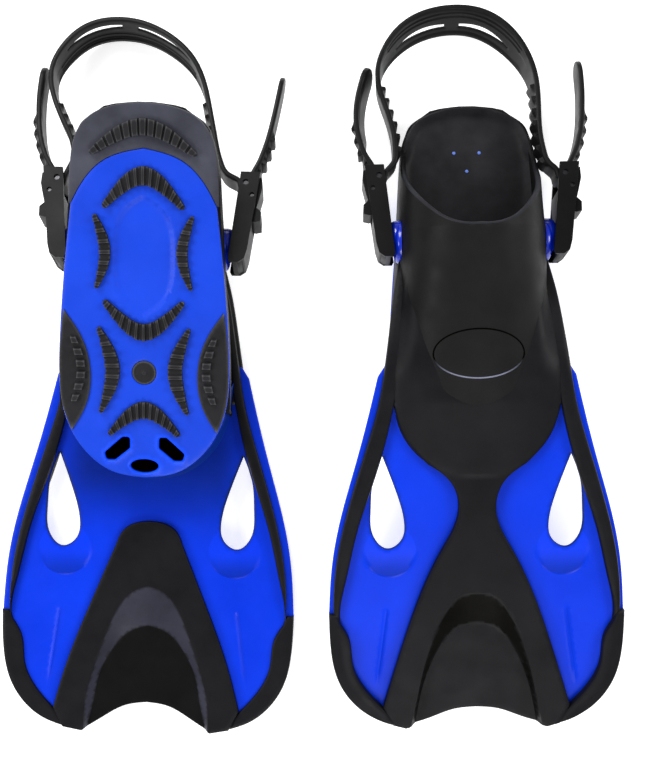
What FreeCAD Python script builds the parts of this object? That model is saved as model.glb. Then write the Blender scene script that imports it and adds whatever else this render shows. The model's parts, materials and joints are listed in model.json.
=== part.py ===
import FreeCAD, Part
import Sketcher
import math
import os

# A pair of adjustable open-heel swim fins. One fin lies sole down, the other sole up.
# Each piece is made once in the fin's own frame and placed for each fin of the pair.
# Fin frame: x across the fin, y from the blade's leg tips towards the heel, z up from
# the ground under the treads. Blade frame: the same x, v up the inclined blade, w normal
# to it. Strap frame: the same x, u along the strap from its pivots, w along its width.
# "outer" is the side away from the other fin, "inner" the side next to it.

V = FreeCAD.Vector
doc = FreeCAD.newDocument("swim_fins")

DIMENSIONS = {
    # whole fin and pair
    "right_splay": 0.95,
    "left_splay": 1.5,
    "right_fin_x": 117.3,
    "right_fin_y": -251.3,
    "left_fin_x": -118.0,
    "left_fin_y": -257.8,
    "left_fin_seat": 0.35,
    # blade
    "blade_rise": 0.19,
    "blade_root_level": 8.0,
    "blade_thickness": 3.0,
    "rail_depth": 14.0,
    "guard_underside": 4.0,
    "guard_topside": 8.0,
    "ridge_underside": 6.0,
    "ridge_topside": 8.0,
    "membrane_thickness": 2.4,
    "skirt_topside": 5.0,
    "anchor_radius": 2.0,
    # sole and pocket
    "tread_depth": 4.0,
    "sole_thickness": 4.0,
    "footbed_thickness": 2.5,
    "pocket_wall": 4.0,
    "pocket_squareness": 2.7,
    "opening_front": 347.0,
    "pocket_crown": 95.0,
    "plug_radius": 8.0,
    "plug_length": 6.0,
    "plug_y": 262.3,
    "dot_radius": 2.2,
    "recess_depth": 1.5,
    "slot_y": 198.5,
    "slot_length": 19.0,
    "slot_width": 11.0,
    # strap pivot
    "pivot_y": 344.5,
    "pivot_height": 38.0,
    "stud_base": 44.0,
    "stud_radius": 12.0,
    "stud_dome_start": 52.5,
    "stud_face": 57.4,
    "neck_radius": 4.5,
    "neck_end": 60.5,
    "stud_head_radius": 7.0,
    "stud_head_end": 62.5,
    "running_gap": 0.05,
    # buckle
    "buckle_width": 30.0,
    "cheek_gap": 25.0,
    "lever_width": 23.0,
    "bar_x": 64.0,
    "bar_u": 41.0,
    "bar_radius": 2.0,
    "lever_pin_x": 68.5,
    "lever_pin_u": 32.0,
    "lever_pin_radius": 1.6,
    "pin_length": 27.0,
    "spring_radius": 2.6,
    "spring_wire": 0.4,
    "spring_length": 6.0,
    "spring_turns": 5.0,
    "spring_room_radius": 3.3,
    "spring_room_width": 8.0,
    # strap
    "strap_thickness": 3.5,
    "strap_width": 21.0,
    "heel_band_width": 29.0,
    "bar_bend_radius": 4.05,
    "strap_ground_gap": 0.3,
    "strap_reach": 165.2,
    "tail_start_u": 45.5,
    "tail_bend_u": 49.0,
    "strand_start_u": 44.0,
    "flare_start_u": 108.0,
    "flare_end_u": 138.0,
}

sheet = doc.addObject("Spreadsheet::Sheet", "dims")
for row, (alias, value) in enumerate(DIMENSIONS.items(), start=1):
    sheet.set(f"A{row}", alias)
    sheet.set(f"B{row}", str(value))
    sheet.setAlias(f"B{row}", alias)
doc.recompute()


def size(alias):
    return float(sheet.get(alias))


# ---------------------------------------------------------------- placements

def placement(x=0.0, y=0.0, z=0.0, rotation=FreeCAD.Rotation()):
    return FreeCAD.Placement(V(x, y, z), rotation)


def about_x(degrees):
    return FreeCAD.Rotation(V(1, 0, 0), degrees)


def about_y(degrees):
    return FreeCAD.Rotation(V(0, 1, 0), degrees)


def about_z(degrees):
    return FreeCAD.Rotation(V(0, 0, 1), degrees)


BLADE_ANGLE = math.degrees(math.atan(size("blade_rise")))
BLADE_PLACE = placement(z=size("blade_root_level"), rotation=about_x(BLADE_ANGLE))
GUARD_TOP_LEVEL = size("blade_root_level") + size("guard_topside")

# The sole-up fin rests on the front lip of its foot opening and on its two tip guards.
FLIP_TILT = math.degrees(math.atan2(size("pocket_crown") - GUARD_TOP_LEVEL, size("opening_front")))

# Turns a prism's own x, y, z into the y, z, x of the frame that it stands in.
SIDE_VIEW = FreeCAD.Placement(V(0, 0, 0), FreeCAD.Rotation(V(0, 1, 0), V(0, 0, 1), V(1, 0, 0), "XYZ"))

RIGHT_FIN = placement(size("right_fin_x"), size("right_fin_y"), 0.0, about_z(size("right_splay")))
FLIP_HEIGHT = GUARD_TOP_LEVEL * math.cos(math.radians(FLIP_TILT)) + size("left_fin_seat")
FLIPPED = placement(z=FLIP_HEIGHT, rotation=about_x(FLIP_TILT)).multiply(placement(rotation=about_y(180.0)))
LEFT_SPOT = placement(size("left_fin_x"), size("left_fin_y"), 0.0, about_z(-size("left_splay")))
LEFT_FIN = LEFT_SPOT.multiply(FLIPPED)


def droop_to_ground(pivot_height, reach):
    """Angle below level at which the lower edge of the heel band meets the ground."""
    half_band = size("heel_band_width") / 2
    radius = math.hypot(reach, half_band)
    drop = pivot_height - size("strap_ground_gap")
    return math.degrees(math.asin(drop / radius) - math.atan2(half_band, reach))


# ---------------------------------------------------------------- outlines

def curve(points):
    """A straight edge through two points, or one smooth curve through more."""
    vectors = [V(x, y, 0) for x, y in points]
    if len(vectors) == 2:
        return Part.LineSegment(*vectors)
    spline = Part.BSplineCurve()
    spline.interpolate(vectors)
    return spline


def mirrored(points):
    return [(-x, y) for x, y in reversed(points)]


def symmetric(pieces):
    """Close a half outline, which starts and ends on the centre line, with its mirror image."""
    return [curve(p) for p in pieces] + [curve(mirrored(p)) for p in reversed(pieces)]


def one_side(pieces, side):
    """An outline drawn for the outer side (side 1), or its mirror image (side -1)."""
    return [curve([(side * x, y) for x, y in p]) for p in pieces]


def polygon(points):
    closed = list(points) + [points[0]]
    return [curve(pair) for pair in zip(closed, closed[1:])]


def face_of(curves):
    return Part.Face(Part.Wire(Part.__sortEdges__([c.toShape() for c in curves])))


def prism(curves, low, high):
    face = face_of(curves)
    face.translate(V(0, 0, low))
    return face.extrude(V(0, 0, high - low))


def up_blade(points):
    """Turn points given along the ground into points up the inclined blade."""
    stretch = 1 / math.cos(math.radians(BLADE_ANGLE))
    return [(x, y * stretch) for x, y in points]


# Half outlines of the blade's parts, outer side, as seen from above.
SILHOUETTE = [(67.5, 248.5), (76.5, 213), (85, 183), (93.5, 153.5), (100.5, 119), (103.3, 83)]
RAIL_OUTER_EDGE = [(58, 288), (62.5, 256), (67.5, 230), (75.5, 202), (87.5, 163.5), (97, 124), (100, 79)]
RAIL_INNER_EDGE = [(95.8, 77), (91.5, 106), (83, 141.5), (71.5, 176), (61.5, 209), (53, 250), (48, 288)]
GUARD_INNER_EDGE = [(95.8, 77), (89.5, 66), (87, 47), (76.5, 26.5), (66, 16)]
GUARD_OUTER_EDGE = [(59, 2.5), (73.5, 8), (87, 18.5), (97.5, 35), (102.5, 58), (103, 79)]
CHANNEL_EDGE = [(66, 16), (58.5, 43), (40, 92), (23.5, 131.5)]
CHANNEL_APEX = [(23.5, 131.5), (18.5, 141.5), (9, 146.8), (0, 148)]
NECK_EDGE = [(66, 16), (50.5, 66), (25, 128), (13, 157), (18, 176), (34, 189)]
NOTCH_EDGE = [(50, 0), (32, 5.5), (16, 11.3), (0, 13)]
RECESS_ARCH = [(43.2, 2.1), (37, 31), (25.5, 58), (12, 72.5), (0, 75)]
CUTOUT_EDGE = [(0, 144), (10, 142), (20, 130), (36.5, 90), (54.5, 41), (62.5, 12)]
HIDDEN_EDGE = [(66, 11), (82, 24), (92.5, 44), (96, 62), (99.5, 79)]
SKIRT_EDGE = [(34, 189), (45, 201), (52.5, 214), (57, 229)]
VENT = [
    (65, 194), (71.5, 176), (73.3, 155), (71.6, 138), (62, 129),
    (52.2, 135), (50.2, 147), (55, 167), (65, 194),
]
ANCHORS = [(96, 100), (90.5, 131), (82.5, 161), (71.5, 195)]

# Half outlines of the sole.
SOLE_SIDE = [(47.7, 374), (52, 337), (56.3, 285), (56.8, 253), (52, 227), (39.5, 206), (21, 192.5), (0, 189)]
SOLE_HEEL_ARCH = [(0, 410.7), (26, 402.5), (41, 386.5), (47.7, 374)]
HEEL_SIDE = [(0, 440), (24, 436.4), (37.5, 428.5), (44, 419), (47.5, 404), (49.3, 374)]
FOOTBED_TOE = [(0, 212), (28, 215), (47, 232)]
FOOTBED_SIDE = [(47, 232), (51, 256), (48.5, 300), (46.5, 340), (43, 385)]
FOOTBED_HEEL = [(43, 385), (39, 408), (26, 424), (0, 430)]
RECESSED_OVAL = [(0, 299.7), (14, 311), (20, 340), (14, 370), (0, 381)]
SIDE_GRIP_INNER = [(53.3, 304.5), (41, 285), (35.6, 261), (40, 237), (49, 221.5)]
SIDE_GRIP_OUTER = [(49, 221.5), (54.3, 237), (56.6, 262), (55.5, 286), (53.3, 304.5)]
DRAIN_SLOT = [(10, 217), (28, 204), (21, 200.5), (10, 208)]

# Tread bars: the curve of one long edge, then of the other.
HEEL_TREAD = ([(-37, 409), (0, 430), (37, 409)], [(32, 404.5), (0, 419), (-32, 404.5)])
CROSS_TREADS = (
    ([(-29, 374), (0, 399.4), (29, 374)], [(24, 370), (0, 387), (-24, 370)]),
    ([(-29, 309), (0, 284.3), (29, 309)], [(24, 313), (0, 295.7), (-24, 313)]),
    ([(-26, 221), (0, 242.6), (26, 221)], [(22, 217), (0, 231), (-22, 217)]),
)
SIDE_TREADS = (
    ([(34.5, 367), (29, 343), (33.5, 319)], [(29.5, 318), (21.6, 343), (30, 368.5)]),
    ([(32.5, 292), (25.7, 264), (31.5, 235)], [(27.5, 233), (16, 264), (28, 294)]),
)
SIDE_LUG = ([(46.5, 286), (39.5, 262), (47.5, 241)], [(44, 239), (34.5, 262), (43, 288)])


# ---------------------------------------------------------------- foot pocket surfaces

# Stations along the foot: distance, half width, level of the lower edge, level of the crown.
POCKET_STATIONS = [
    (180, 17, 36, 45.5), (185, 28, 22, 48), (190, 36.5, 8, 50), (198, 45, 8, 53),
    (210, 52.5, 8, 57), (226, 56.5, 8, 62.5), (246, 57.5, 8, 69), (270, 57, 8, 75.5),
    (300, 55, 8, 83), (322, 53, 8, 89), (347, 51.8, 8, 95), (366, 50.4, 8, 95),
    (382, 49.4, 8, 95), (396, 48.4, 8, 95), (409, 46.8, 8, 95), (420, 43.6, 8, 95),
    (429, 37.4, 8, 95), (435, 28.5, 8, 95), (439, 15, 8, 95),
]
# Side view of the rim, from the front lip down to the low heel.
RIM = [(347, 95), (356, 87), (366, 75), (376, 58), (386, 39), (395, 25), (404, 18), (420, 14), (441, 13)]


def arch_section(y, half_width, low, crown):
    """A flat-based arch across the foot, as a superellipse."""
    points = []
    steps = 24
    power = 2 / size("pocket_squareness")
    for step in range(steps + 1):
        angle = math.pi * step / steps
        across = math.copysign(abs(math.cos(angle)) ** power, math.cos(angle))
        up = math.sin(angle) ** power if 0 < step < steps else 0.0
        points.append(V(half_width * across, y, low + (crown - low) * up))
    arch = Part.BSplineCurve()
    arch.interpolate(points)
    return Part.Wire([arch.toShape(), Part.makeLine(points[-1], points[0])])


def pocket_body():
    return Part.makeLoft([arch_section(*s) for s in POCKET_STATIONS], True, True)


def pocket_cavity():
    wall = size("pocket_wall")
    stations = [(196, 38, 0, 47)]
    stations += [(y, a - wall, 0, top - wall) for y, a, low, top in POCKET_STATIONS if 200 < y < 435]
    stations += [(436, 17, 0, 95 - wall)]
    return Part.makeLoft([arch_section(*s) for s in stations], True, True)


def above_rim():
    """Everything above the rim, behind the front lip."""
    high = 140
    reach = 80
    behind = RIM[-1][0] + 4
    corners = [RIM[-1], (behind, RIM[-1][1]), (behind, high), (RIM[0][0], high), RIM[0]]
    edges = [curve(RIM)] + [curve(pair) for pair in zip(corners, corners[1:])]
    block = prism(edges, -reach, reach)
    block.Placement = SIDE_VIEW
    return block


# ---------------------------------------------------------------- shapes in the fin frame

def in_blade_frame(shape):
    moved = shape.copy()
    moved.Placement = BLADE_PLACE.inverse()
    return moved


def blade_shape(pocket):
    half = size("blade_thickness") / 2
    outline = symmetric([
        up_blade(CUTOUT_EDGE),
        up_blade([(62.5, 12), (66, 11)]),
        up_blade(HIDDEN_EDGE),
        up_blade([(99.5, 79), (103.3, 83)]),
        up_blade(list(reversed(SILHOUETTE))),
        up_blade([(67.5, 248.5), (62.5, 256)]),
        up_blade([(62.5, 256), (60.2, 270), (58, 288)]),
        up_blade([(58, 288), (0, 288)]),
    ])
    plate = prism(outline, -half, half)
    for side in (1, -1):
        vent = one_side([up_blade(VENT)], side)
        plate = plate.cut(prism(vent, -2 * half, 2 * half))
        for x, y in up_blade(ANCHORS):
            plate = plate.cut(Part.makeCylinder(size("anchor_radius"), 4 * half, V(side * x, y, -2 * half)))
    return plate.cut(pocket)


def rail_shape(side, pocket, plate):
    depth = size("rail_depth") / 2
    outline = one_side([
        up_blade(RAIL_OUTER_EDGE),
        up_blade([(100, 79), (95.8, 77)]),
        up_blade(RAIL_INNER_EDGE),
        up_blade([(48, 288), (58, 288)]),
    ], side)
    return prism(outline, -depth, depth).cut(pocket).cut(plate)


def guard_shape(side, plate):
    outline = one_side([
        up_blade(GUARD_INNER_EDGE),
        up_blade([(66, 16), (59, 2.5)]),
        up_blade(GUARD_OUTER_EDGE),
        up_blade([(103, 79), (100, 79)]),
        up_blade([(100, 79), (95.8, 77)]),
    ], side)
    return prism(outline, -size("guard_underside"), size("guard_topside")).cut(plate)


def channel_shape(pocket, plate):
    """The flexible centre: ridges round a cut-out of the blade, and a thin membrane in it."""
    foot_of_legs = [up_blade([(59, 2.5), (50, 0)]), up_blade(NOTCH_EDGE)]
    below = prism(symmetric([
        up_blade(list(reversed(CHANNEL_APEX))),
        up_blade(list(reversed(CHANNEL_EDGE))),
        up_blade([(66, 16), (59, 2.5)]),
    ] + foot_of_legs), -size("ridge_underside"), 0)
    above = prism(symmetric([
        up_blade([(0, 189), (34, 189)]),
        up_blade(list(reversed(NECK_EDGE))),
        up_blade([(66, 16), (59, 2.5)]),
    ] + foot_of_legs), 0, size("ridge_topside"))
    recess = symmetric([
        up_blade([(0, -10), (43.2, -10)]),
        up_blade([(43.2, -10), (43.2, 2.1)]),
        up_blade(RECESS_ARCH),
    ])
    skin = size("membrane_thickness") / 2
    shape = below.fuse(above)
    shape = shape.cut(prism(recess, skin, 20)).cut(prism(recess, -20, -skin))
    return shape.cut(plate).cut(pocket).removeSplitter()


def skirt_shape(pocket, plate, rails):
    """The pocket's edge where it spreads over the blade, between the neck and the rails."""
    outline = symmetric([
        up_blade([(0, 189), (34, 189)]),
        up_blade(SKIRT_EDGE),
        up_blade([(57, 229), (62, 229)]),
        up_blade([(62, 229), (58, 288)]),
        up_blade([(58, 288), (0, 288)]),
    ])
    skirt = prism(outline, 0, size("skirt_topside")).cut(pocket).cut(plate)
    for rail in rails:
        skirt = skirt.cut(rail)
    skirt.Placement = BLADE_PLACE
    return skirt


def pocket_shape(body, skirt):
    heel_side = [list(HEEL_SIDE), [(49.3, 374), (47.7, 374)], list(reversed(SOLE_HEEL_ARCH))]
    floor_level = size("tread_depth")
    heel_floor = prism(symmetric(heel_side), floor_level, floor_level + size("sole_thickness"))
    shell = body.cut(pocket_cavity()).cut(above_rim())
    return shell.fuse(heel_floor).fuse(skirt).removeSplitter()


def bar_outline(edges, side=1):
    first, second = edges
    return one_side([first, [first[-1], second[0]], second, [second[-1], first[0]]], side)


def tread_shape(edges, side=1, top=None):
    top = size("tread_depth") if top is None else top
    return prism(bar_outline(edges, side), 0, top)


def tread_group():
    bars = [tread_shape(edges) for edges in CROSS_TREADS]
    bars += [tread_shape(edges, side) for edges in SIDE_TREADS for side in (1, -1)]
    return Part.makeCompound(bars)


def side_grip_group():
    depth = size("tread_depth")
    grips = []
    for side in (1, -1):
        pad = prism(one_side([SIDE_GRIP_INNER, SIDE_GRIP_OUTER], side), depth - 1.5, depth)
        grips.append(pad.fuse(tread_shape(SIDE_LUG, side)))
    return Part.makeCompound(grips)


# ---------------------------------------------------------------- strap

# Strap centre lines in the strap frame, from one free tail end round both buckle bars
# and the heel to the other tail end. Each strap lies in its own slightly uneven curve.
RIGHT_LOOP = [
    (51, 52), (47.6, 73.5), (48.5, 93.7), (48.3, 114), (41, 133), (29, 149), (12, 160.5), (-8.4, 163),
    (-28.6, 160), (-46.8, 151), (-59, 135), (-66.5, 116), (-59.5, 96), (-52.9, 77), (-50.5, 54),
]
RIGHT_TAILS = ([(77.6, 125), (79.6, 103), (76.8, 66)], [(-78.4, 66), (-80.5, 92), (-70.8, 123)])
LEFT_LOOP = [
    (51, 64), (62.9, 82.7), (72, 102), (77.3, 122.7), (66.6, 141.6), (52, 157.3), (31, 161.6),
    (9.8, 158.7), (-8.8, 148), (-24.3, 134), (-33.3, 114.4), (-37.3, 93.6), (-42, 73), (-45.8, 51),
]
LEFT_TAILS = ([(80, 128), (82.4, 103), (78.6, 66)], [(-76.2, 66), (-81.6, 93), (-86.6, 125)])


class Run:
    """A path of straight runs joined by tangent arcs, which can be offset sideways."""

    def __init__(self, corners):
        self.corners = [V(c[0], c[1], 0) for c in corners]
        self.radii = [c[2] if len(c) > 2 else None for c in corners]

    def arc_at(self, index):
        before = self.corners[index - 1] - self.corners[index]
        after = self.corners[index + 1] - self.corners[index]
        turn = math.pi - before.getAngle(after)
        radius = self.radii[index]
        if radius is None:
            radius = 0.45 * min(before.Length, after.Length) / math.tan(turn / 2)
        reach = radius * math.tan(turn / 2)
        start = self.corners[index] + before.normalize() * reach
        end = self.corners[index] + after.normalize() * reach
        bisector = (before + after).normalize()
        centre = self.corners[index] + bisector * math.hypot(radius, reach)
        return start, end, centre, radius

    def edges(self, offset):
        """Edges of the path moved sideways, to its left for a positive offset."""
        made = []
        heading = (self.corners[1] - self.corners[0]).normalize()
        here = self.corners[0] + V(-heading.y, heading.x, 0) * offset
        for index in range(1, len(self.corners) - 1):
            start, end, centre, radius = self.arc_at(index)
            moved = radius + self.sense(start, end, centre) * offset
            arc_start = centre + (start - centre) * (moved / radius)
            arc_end = centre + (end - centre) * (moved / radius)
            middle = ((start - centre) + (end - centre)).normalize()
            if here.distanceToPoint(arc_start) > 1e-6:
                made.append(Part.LineSegment(here, arc_start).toShape())
            made.append(Part.Arc(arc_start, centre + middle * moved, arc_end).toShape())
            here = arc_end
        heading = (self.corners[-1] - self.corners[-2]).normalize()
        last = self.corners[-1] + V(-heading.y, heading.x, 0) * offset
        made.append(Part.LineSegment(here, last).toShape())
        return made

    @staticmethod
    def sense(start, end, centre):
        """1 where the path's left is away from the arc's centre, else -1."""
        cross = (start - centre).cross(end - centre).z
        return -1 if cross > 0 else 1

    def ribbon(self, thickness):
        left = self.edges(thickness / 2)
        right = self.edges(-thickness / 2)
        caps = [
            Part.makeLine(left[0].Vertexes[0].Point, right[0].Vertexes[0].Point),
            Part.makeLine(left[-1].Vertexes[-1].Point, right[-1].Vertexes[-1].Point),
        ]
        return Part.Face(Part.Wire(Part.__sortEdges__(left + right + caps)))


def bar_corners(side):
    """The two corners of the path round a buckle bar, tail side first."""
    bend = size("bar_bend_radius")
    low = size("bar_u") - bend
    return [(side * (size("bar_x") + bend), low, bend), (side * (size("bar_x") - bend), low, bend)]


def strap_shape(loop, tails):
    thickness = size("strap_thickness")
    narrow = size("strap_width") / 2
    wide = size("heel_band_width") / 2
    tail_start = size("tail_start_u")
    tail_x = size("bar_x") + size("bar_bend_radius")
    strand_x = size("bar_x") - size("bar_bend_radius")
    outer = [(tail_x, tail_start)] + bar_corners(1) + [(strand_x, size("strand_start_u"))]
    inner = [(-strand_x, size("strand_start_u"))] + list(reversed(bar_corners(-1))) + [(-tail_x, tail_start)]
    band = Run(outer + loop + inner).ribbon(thickness)
    band.translate(V(0, 0, -wide))
    band = band.extrude(V(0, 0, 2 * wide))
    # side view of the band: narrow in the buckles, flared behind the heel
    start, end = size("flare_start_u"), size("flare_end_u")
    flare = [(20, narrow), (start, narrow), (end, wide), (175, wide)]
    profile = polygon(flare + [(u, -w) for u, w in reversed(flare)])
    reach = 100
    sleeve = prism(profile, -reach, reach)
    sleeve.Placement = SIDE_VIEW
    strap = band.common(sleeve)
    for tail, side in zip(tails, (1, -1)):
        corners = list(tail) if side == 1 else list(reversed(tail))
        straight = [(side * tail_x, size("tail_bend_u")), (side * tail_x, tail_start)]
        strand = Run(corners + straight).ribbon(thickness)
        strand.translate(V(0, 0, -narrow))
        strap = strap.fuse(strand.extrude(V(0, 0, 2 * narrow)))
    return strap.removeSplitter()


# ---------------------------------------------------------------- document objects

def feature(label, shape, place):
    obj = doc.addObject("Part::Feature", label)
    obj.Label = label
    obj.Shape = shape
    obj.Placement = place
    return obj


def origin_plane(body, role):
    return next(f for f in body.Origin.OriginFeatures if f.Role == role)


def sketch_on(body, role, curves):
    sketch = body.newObject("Sketcher::SketchObject", "Outline")
    sketch.AttachmentSupport = [(origin_plane(body, role), "")]
    sketch.MapMode = "FlatFace"
    for piece in curves:
        sketch.addGeometry(piece, False)
    return sketch


def circle(x, y, radius_alias):
    return Part.Circle(V(x, y, 0), V(0, 0, 1), size(radius_alias))


def bind_radii(sketch, aliases):
    """Tie the radii of a sketch's circles to the sheet."""
    circles = [i for i, g in enumerate(sketch.Geometry) if isinstance(g, Part.Circle)]
    for index, alias in zip(circles, aliases):
        number = sketch.addConstraint(Sketcher.Constraint("Radius", index, size(alias)))
        sketch.setExpression(f"Constraints[{number}]", f"dims.{alias}")


def padded_body(label, curves, length, place, middle=False):
    """A body made by padding an outline drawn in its own XY plane."""
    body = doc.addObject("PartDesign::Body", label)
    body.Label = label
    sketch = sketch_on(body, "XY_Plane", curves)
    pad = body.newObject("PartDesign::Pad", "Pad")
    pad.Profile = sketch
    pad.Midplane = middle
    pad.setExpression("Length", length)
    body.Placement = place
    doc.recompute()
    return body


def pocketed(body, role, curves, length, middle=False, backwards=False, radii=()):
    """Cut an outline out of a body, and make sure that it did cut."""
    before = body.Shape.Volume
    sketch = sketch_on(body, role, curves)
    if radii:
        bind_radii(sketch, radii)
    cut = body.newObject("PartDesign::Pocket", "Pocket")
    cut.Profile = sketch
    cut.Midplane = middle
    cut.Reversed = backwards
    cut.setExpression("Length", length)
    doc.recompute()
    if body.Shape.Volume >= before:
        raise RuntimeError(f"{body.Label}: a pocket removed nothing")


def cylinder(label, radius, height, place):
    obj = doc.addObject("Part::Cylinder", label)
    obj.Label = label
    obj.setExpression("Radius", radius)
    obj.setExpression("Height", height)
    obj.Placement = place
    return obj


def sole_plate(label, fin):
    place = fin.multiply(placement(z=size("tread_depth")))
    body = padded_body(label, symmetric([SOLE_HEEL_ARCH, SOLE_SIDE]), "dims.sole_thickness", place)
    pocketed(body, "XY_Plane", symmetric([RECESSED_OVAL]), "dims.recess_depth", backwards=True)
    slots = polygon(DRAIN_SLOT) + polygon(mirrored(DRAIN_SLOT))
    slots += [Part.Ellipse(V(0, size("slot_y"), 0), size("slot_length") / 2, size("slot_width") / 2)]
    pocketed(body, "XY_Plane", slots, "dims.sole_thickness", backwards=True)
    pocketed(body, "XY_Plane", [circle(0, size("plug_y"), "plug_radius")], "dims.sole_thickness",
             backwards=True, radii=["plug_radius"])
    return body


def footbed(label, fin):
    place = fin.multiply(placement(z=size("tread_depth") + size("sole_thickness")))
    body = padded_body(label, symmetric([FOOTBED_TOE, FOOTBED_SIDE, FOOTBED_HEEL]),
                       "dims.footbed_thickness", place)
    dots = [circle(x, y, "dot_radius") for x, y in ((-9, 405), (9, 405), (0, 392))]
    pocketed(body, "XY_Plane", dots, "dims.footbed_thickness", backwards=True, radii=["dot_radius"] * 3)
    return body


def stud(label, fin, side, pocket_skin):
    """A domed boss on the pocket's side, with the headed pin that the buckle turns on."""
    base, dome_start = size("stud_base"), size("stud_dome_start")
    face, rim = size("stud_face"), size("stud_radius")
    neck, neck_end = size("neck_radius"), size("neck_end")
    head, head_end = size("stud_head_radius"), size("stud_head_end")
    profile = [
        Part.LineSegment(V(0, base, 0), V(rim, base, 0)),
        Part.LineSegment(V(rim, base, 0), V(rim, dome_start, 0)),
        Part.Arc(V(rim, dome_start, 0), V(rim - 1.6, dome_start + 3.6, 0), V(rim - 5, face, 0)),
        Part.LineSegment(V(rim - 5, face, 0), V(neck, face, 0)),
        Part.LineSegment(V(neck, face, 0), V(neck, neck_end, 0)),
        Part.LineSegment(V(neck, neck_end, 0), V(head, neck_end, 0)),
        Part.LineSegment(V(head, neck_end, 0), V(head, head_end, 0)),
        Part.LineSegment(V(head, head_end, 0), V(0, head_end, 0)),
        Part.LineSegment(V(0, head_end, 0), V(0, base, 0)),
    ]
    body = doc.addObject("PartDesign::Body", label + "_turned")
    sketch = sketch_on(body, "XY_Plane", profile)
    turned = body.newObject("PartDesign::Revolution", "Revolution")
    turned.Profile = sketch
    turned.ReferenceAxis = (sketch, ["V_Axis"])
    turned.Angle = 360.0
    # the body's own y becomes the fin's outward x
    along_x = FreeCAD.Rotation(V(0, 1, 0), V(side, 0, 0))
    body.Placement = placement(y=size("pivot_y"), z=size("pivot_height"), rotation=along_x)
    doc.recompute()
    return feature(label, body.Shape.cut(pocket_skin), fin)


CHEEK = [(54, -14), (55.2, -16.2), (61.2, -16.2), (65, -13.4), (66.8, -7), (73.8, 48.5), (60.5, 48.5)]
BUCKLE_ROOM = [
    (50, -25), (57.7, -25), (57.7, 28.5), (60.2, 28.5), (60.2, -16.5), (63.6, -16.5),
    (66.2, 11), (80, 11), (80, 52), (50, 52),
]
LEVER = [
    (71.6, 45.5), (75.2, 45.5), (76.2, 38), (73.4, 30), (71.8, 24), (75.6, 21), (75.4, 14.5),
    (71, 13.5), (67.6, 14.5), (66.6, 24), (65.4, 31.5), (67.5, 35.2), (71, 37),
]


def buckle_housing(label, place, side):
    """Two cheeks joined by a bracket that turns on the stud, an end wall and an outer wall."""
    cheek = [(side * x, u) for x, u in CHEEK]
    room = [(side * x, u) for x, u in BUCKLE_ROOM]
    body = padded_body(label, polygon(cheek), "dims.buckle_width", place, middle=True)
    pocketed(body, "XY_Plane", polygon(room), "dims.cheek_gap", middle=True)
    pins = [circle(side * size("bar_x"), size("bar_u"), "bar_radius"),
            circle(side * size("lever_pin_x"), size("lever_pin_u"), "lever_pin_radius")]
    pocketed(body, "XY_Plane", pins, "dims.buckle_width", middle=True,
             radii=["bar_radius", "lever_pin_radius"])
    hole = Part.Circle(V(0, 0, 0), V(0, 0, 1), size("neck_radius") + size("running_gap"))
    pocketed(body, "YZ_Plane", [hole], "dims.stud_head_end", backwards=side > 0)
    return body


def lever(label, place, side):
    outline = [(side * x, u) for x, u in LEVER]
    pin = (side * size("lever_pin_x"), size("lever_pin_u"))
    body = padded_body(label, polygon(outline), "dims.lever_width", place, middle=True)
    bore = Part.Circle(V(pin[0], pin[1], 0), V(0, 0, 1), size("lever_pin_radius") + size("running_gap"))
    pocketed(body, "XY_Plane", [bore], "dims.lever_width", middle=True)
    pocketed(body, "XY_Plane", [circle(*pin, "spring_room_radius")], "dims.spring_room_width",
             middle=True, radii=["spring_room_radius"])
    return body


def cross_pin(label, place, side, x, u, radius):
    local = placement(side * size(x), size(u), -size("pin_length") / 2)
    return cylinder(label, f"dims.{radius}", "dims.pin_length", place.multiply(local))


def lever_spring(label, place, side):
    length = size("spring_length")
    helix = Part.makeHelix(length / size("spring_turns"), length, size("spring_radius"))
    start = V(size("spring_radius"), 0, 0)
    ring = Part.Wire(Part.makeCircle(size("spring_wire"), start, V(0, 1, 0)))
    coil = Part.Wire(helix.Edges).makePipeShell([ring], True, True)
    local = placement(side * size("lever_pin_x"), size("lever_pin_u"), -length / 2)
    return feature(label, coil, place.multiply(local))


# ---------------------------------------------------------------- the two fins

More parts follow.
